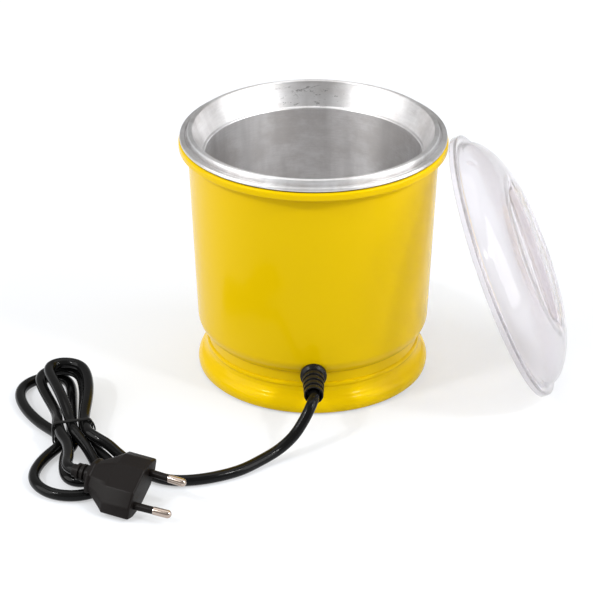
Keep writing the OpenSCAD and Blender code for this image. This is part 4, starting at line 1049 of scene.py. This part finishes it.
# ---
# Thermostat and thermal fuse. The switch is a phenolic disc with a fine mineral fleck; the
# fuse is a plated metal can held by its clip.
phenolic = Finish("black_phenolic", {"Specular IOR Level": 0.4})
fleck = phenolic.noise(1500, 3, 0.7).within(0.58, 0.7)
flow = phenolic.noise(90, 4)
phenolic.look(
    phenolic.mix(fleck * 0.5, (0.016, 0.012, 0.010), (0.07, 0.055, 0.045)),
    0.32 + flow * 0.16,
    flow + fleck * 0.4, 0.03,
)
dress(phenolic, "thermostat")
dress(nickel, "thermal_fuse")

# ---
# Terminal block and cord clamp. The block is glazed steatite with brass inserts; the saddle
# and clamp that hold the cord are black nylon.
steatite = Finish("glazed_steatite", {"Coat Weight": 0.3, "Coat Roughness": 0.1})
speck = steatite.noise(1300, 2, 0.6).within(0.66, 0.74)
firing = steatite.noise(120, 4)
body = steatite.mix(firing, (0.88, 0.86, 0.80), (0.80, 0.77, 0.69))
steatite.look(
    steatite.mix(speck * 0.6, body, (0.45, 0.38, 0.30)),
    0.22 + firing * 0.2,
    firing, 0.05,
)
dress(steatite, "terminal_block")

brass = Finish("turned_brass", {"Metallic": 1.0})
dulled = brass.noise(240, 4, 0.6)
brass.look(
    brass.mix(dulled, (0.78, 0.57, 0.25), (0.50, 0.33, 0.13)),
    0.2 + dulled * 0.25,
    brass.noise(1400, 3), 0.01,
)
dress(brass, "terminal_inserts")

nylon = Finish("black_nylon", {"Specular IOR Level": 0.4})
texture = nylon.noise(1100, 4, 0.6)
sheen = nylon.noise(80, 3)
nylon.look(
    nylon.mix(sheen, (0.012, 0.012, 0.013), (0.028, 0.028, 0.029)),
    0.42 + sheen * 0.16,
    texture, 0.04,
)
dress(nylon, "cord_saddle", "cord_clamp")

# ---
# Wiring. The cord's jacket runs on inside the shell to its clamp; its brown and blue cores go
# to the block, and glass-sleeved leads go on from there to the heater, switch and fuse.
PLAIT = 2600
dress(pvc, "inner_lead")
for node, name, tone, deep in (
    ("live_lead", "brown_core", (0.20, 0.075, 0.028), (0.12, 0.042, 0.016)),
    ("neutral_lead", "blue_core", (0.03, 0.13, 0.42), (0.016, 0.07, 0.27)),
):
    core = Finish(name)
    streak = core.noise(160, 4, 0.6)
    core.look(
        core.mix(streak, tone, deep),
        0.28 + streak * 0.18,
        core.noise(1300, 3), 0.02,
    )
    dress(core, node)

sleeving = Finish("glass_sleeve", {"Sheen Weight": 0.1})
x, y, z = sleeving.parts(sleeving.place())
plait = ((x + y + z) * PLAIT).sine() * ((x - y + z) * PLAIT).sine()
age = sleeving.noise(140, 4, 0.6)
strands = sleeving.mix(plait.within(-0.6, 0.6), (0.60, 0.57, 0.50), (0.84, 0.82, 0.76))
sleeving.look(
    sleeving.mix(age.within(0.5, 0.8) * 0.5, strands, (0.55, 0.45, 0.30)),
    0.55 + age * 0.2,
    plait, 0.12,
)
dress(sleeving, "heater_leads")

# ---
# Bench top and light. A pale bench that the camera sees going over to white away from the
# heater, under two soft boxes at the sides, one overhead, and two small ones that put the
# highlights on the foot.
PALE, BENCH_HALF, ROOM_LIGHT, ROOM_GLOSS = (0.43, 0.445, 0.47), 6000, 0.5, 0.42
BENCH_GLOW, GLOW_THROUGH, FAR_GLOW, FADE_FROM, FADE_TO = 0.45, 0.3, 0.5, 0.3, 1.1
LAMP_AIM = 0.06
EYE_RAY, GLOSS_RAY, CLEAR_RAY = "Is Camera Ray", "Is Glossy Ray", "Is Transmission Ray"


def ray_kind(finish, *kinds):
    """1 for the named kinds of ray and 0 for the others."""
    ray = finish.node("ShaderNodeLightPath").socket.node
    seen, *others = [Value(finish, ray.outputs[kind]) for kind in kinds]
    for other in others:
        seen = seen.larger(other)
    return seen


bench = Finish("pale_bench", {
    "Base Color": (*PALE, 1), "Roughness": 0.9, "Specular IOR Level": 0.0,
    "Emission Color": (1, 1, 1, 1),
})
x, y, z = bench.parts(bench.place())
far_off = (x**2 + y**2).within(FADE_FROM**2, FADE_TO**2)
# A ray through the lid counts as glossy too, so its share of the glow is taken off again
bench.feed({
    "Emission Strength": BENCH_GLOW * ray_kind(bench, EYE_RAY, GLOSS_RAY, CLEAR_RAY)
    - (BENCH_GLOW - GLOW_THROUGH) * ray_kind(bench, CLEAR_RAY)
    + far_off * FAR_GLOW * ray_kind(bench, EYE_RAY, CLEAR_RAY),
})
corners = [(BENCH_HALF * x, BENCH_HALF * y, 0) for x, y in ((-1, -1), (1, -1), (1, 1), (-1, 1))]
floor = obj_from("bench_top", corners, [(0, 1, 2, 3)], bench)

bpy.context.scene.view_settings.view_transform = "Standard"
studio = Finish("studio", {"Color": (1, 1, 1, 1)}, bpy.data.worlds, "Background")
bpy.context.scene.world = studio.material
studio.feed({
    "Strength": ROOM_LIGHT
    + (1 - ROOM_LIGHT) * ray_kind(studio, EYE_RAY, CLEAR_RAY)
    - (ROOM_LIGHT - ROOM_GLOSS) * ray_kind(studio, GLOSS_RAY),
})


def soft_box(name, bearing, height, away, width, tall, watts):
    """An area lamp that faces the heater: its bearing from the front and its elevation."""
    a, e = math.radians(bearing), math.radians(height)
    aim = Vector((0, 0, LAMP_AIM))
    at = aim + away * Vector((math.sin(a) * math.cos(e), -math.cos(a) * math.cos(e), math.sin(e)))
    lamp = bpy.data.objects.new(name, bpy.data.lights.new(name, "AREA"))
    lamp.data.shape, lamp.data.size, lamp.data.size_y = "RECTANGLE", width, tall
    lamp.data.energy = watts
    lamp.location = at
    lamp.rotation_euler = (aim - at).to_track_quat("-Z", "Y").to_euler()
    bpy.context.scene.collection.objects.link(lamp)


soft_box("left_box", -75, 26, 1.7, 1.4, 1.4, 15.8)
soft_box("right_box", 76, 26, 1.7, 1.2, 1.4, 20)
soft_box("top_box", 180, 78, 1.7, 2.0, 1.4, 11)
soft_box("left_glint", -56, 42, 1.4, 0.16, 0.06, 4.8)
soft_box("right_glint", 51, 42, 1.4, 0.14, 0.06, 4.8)
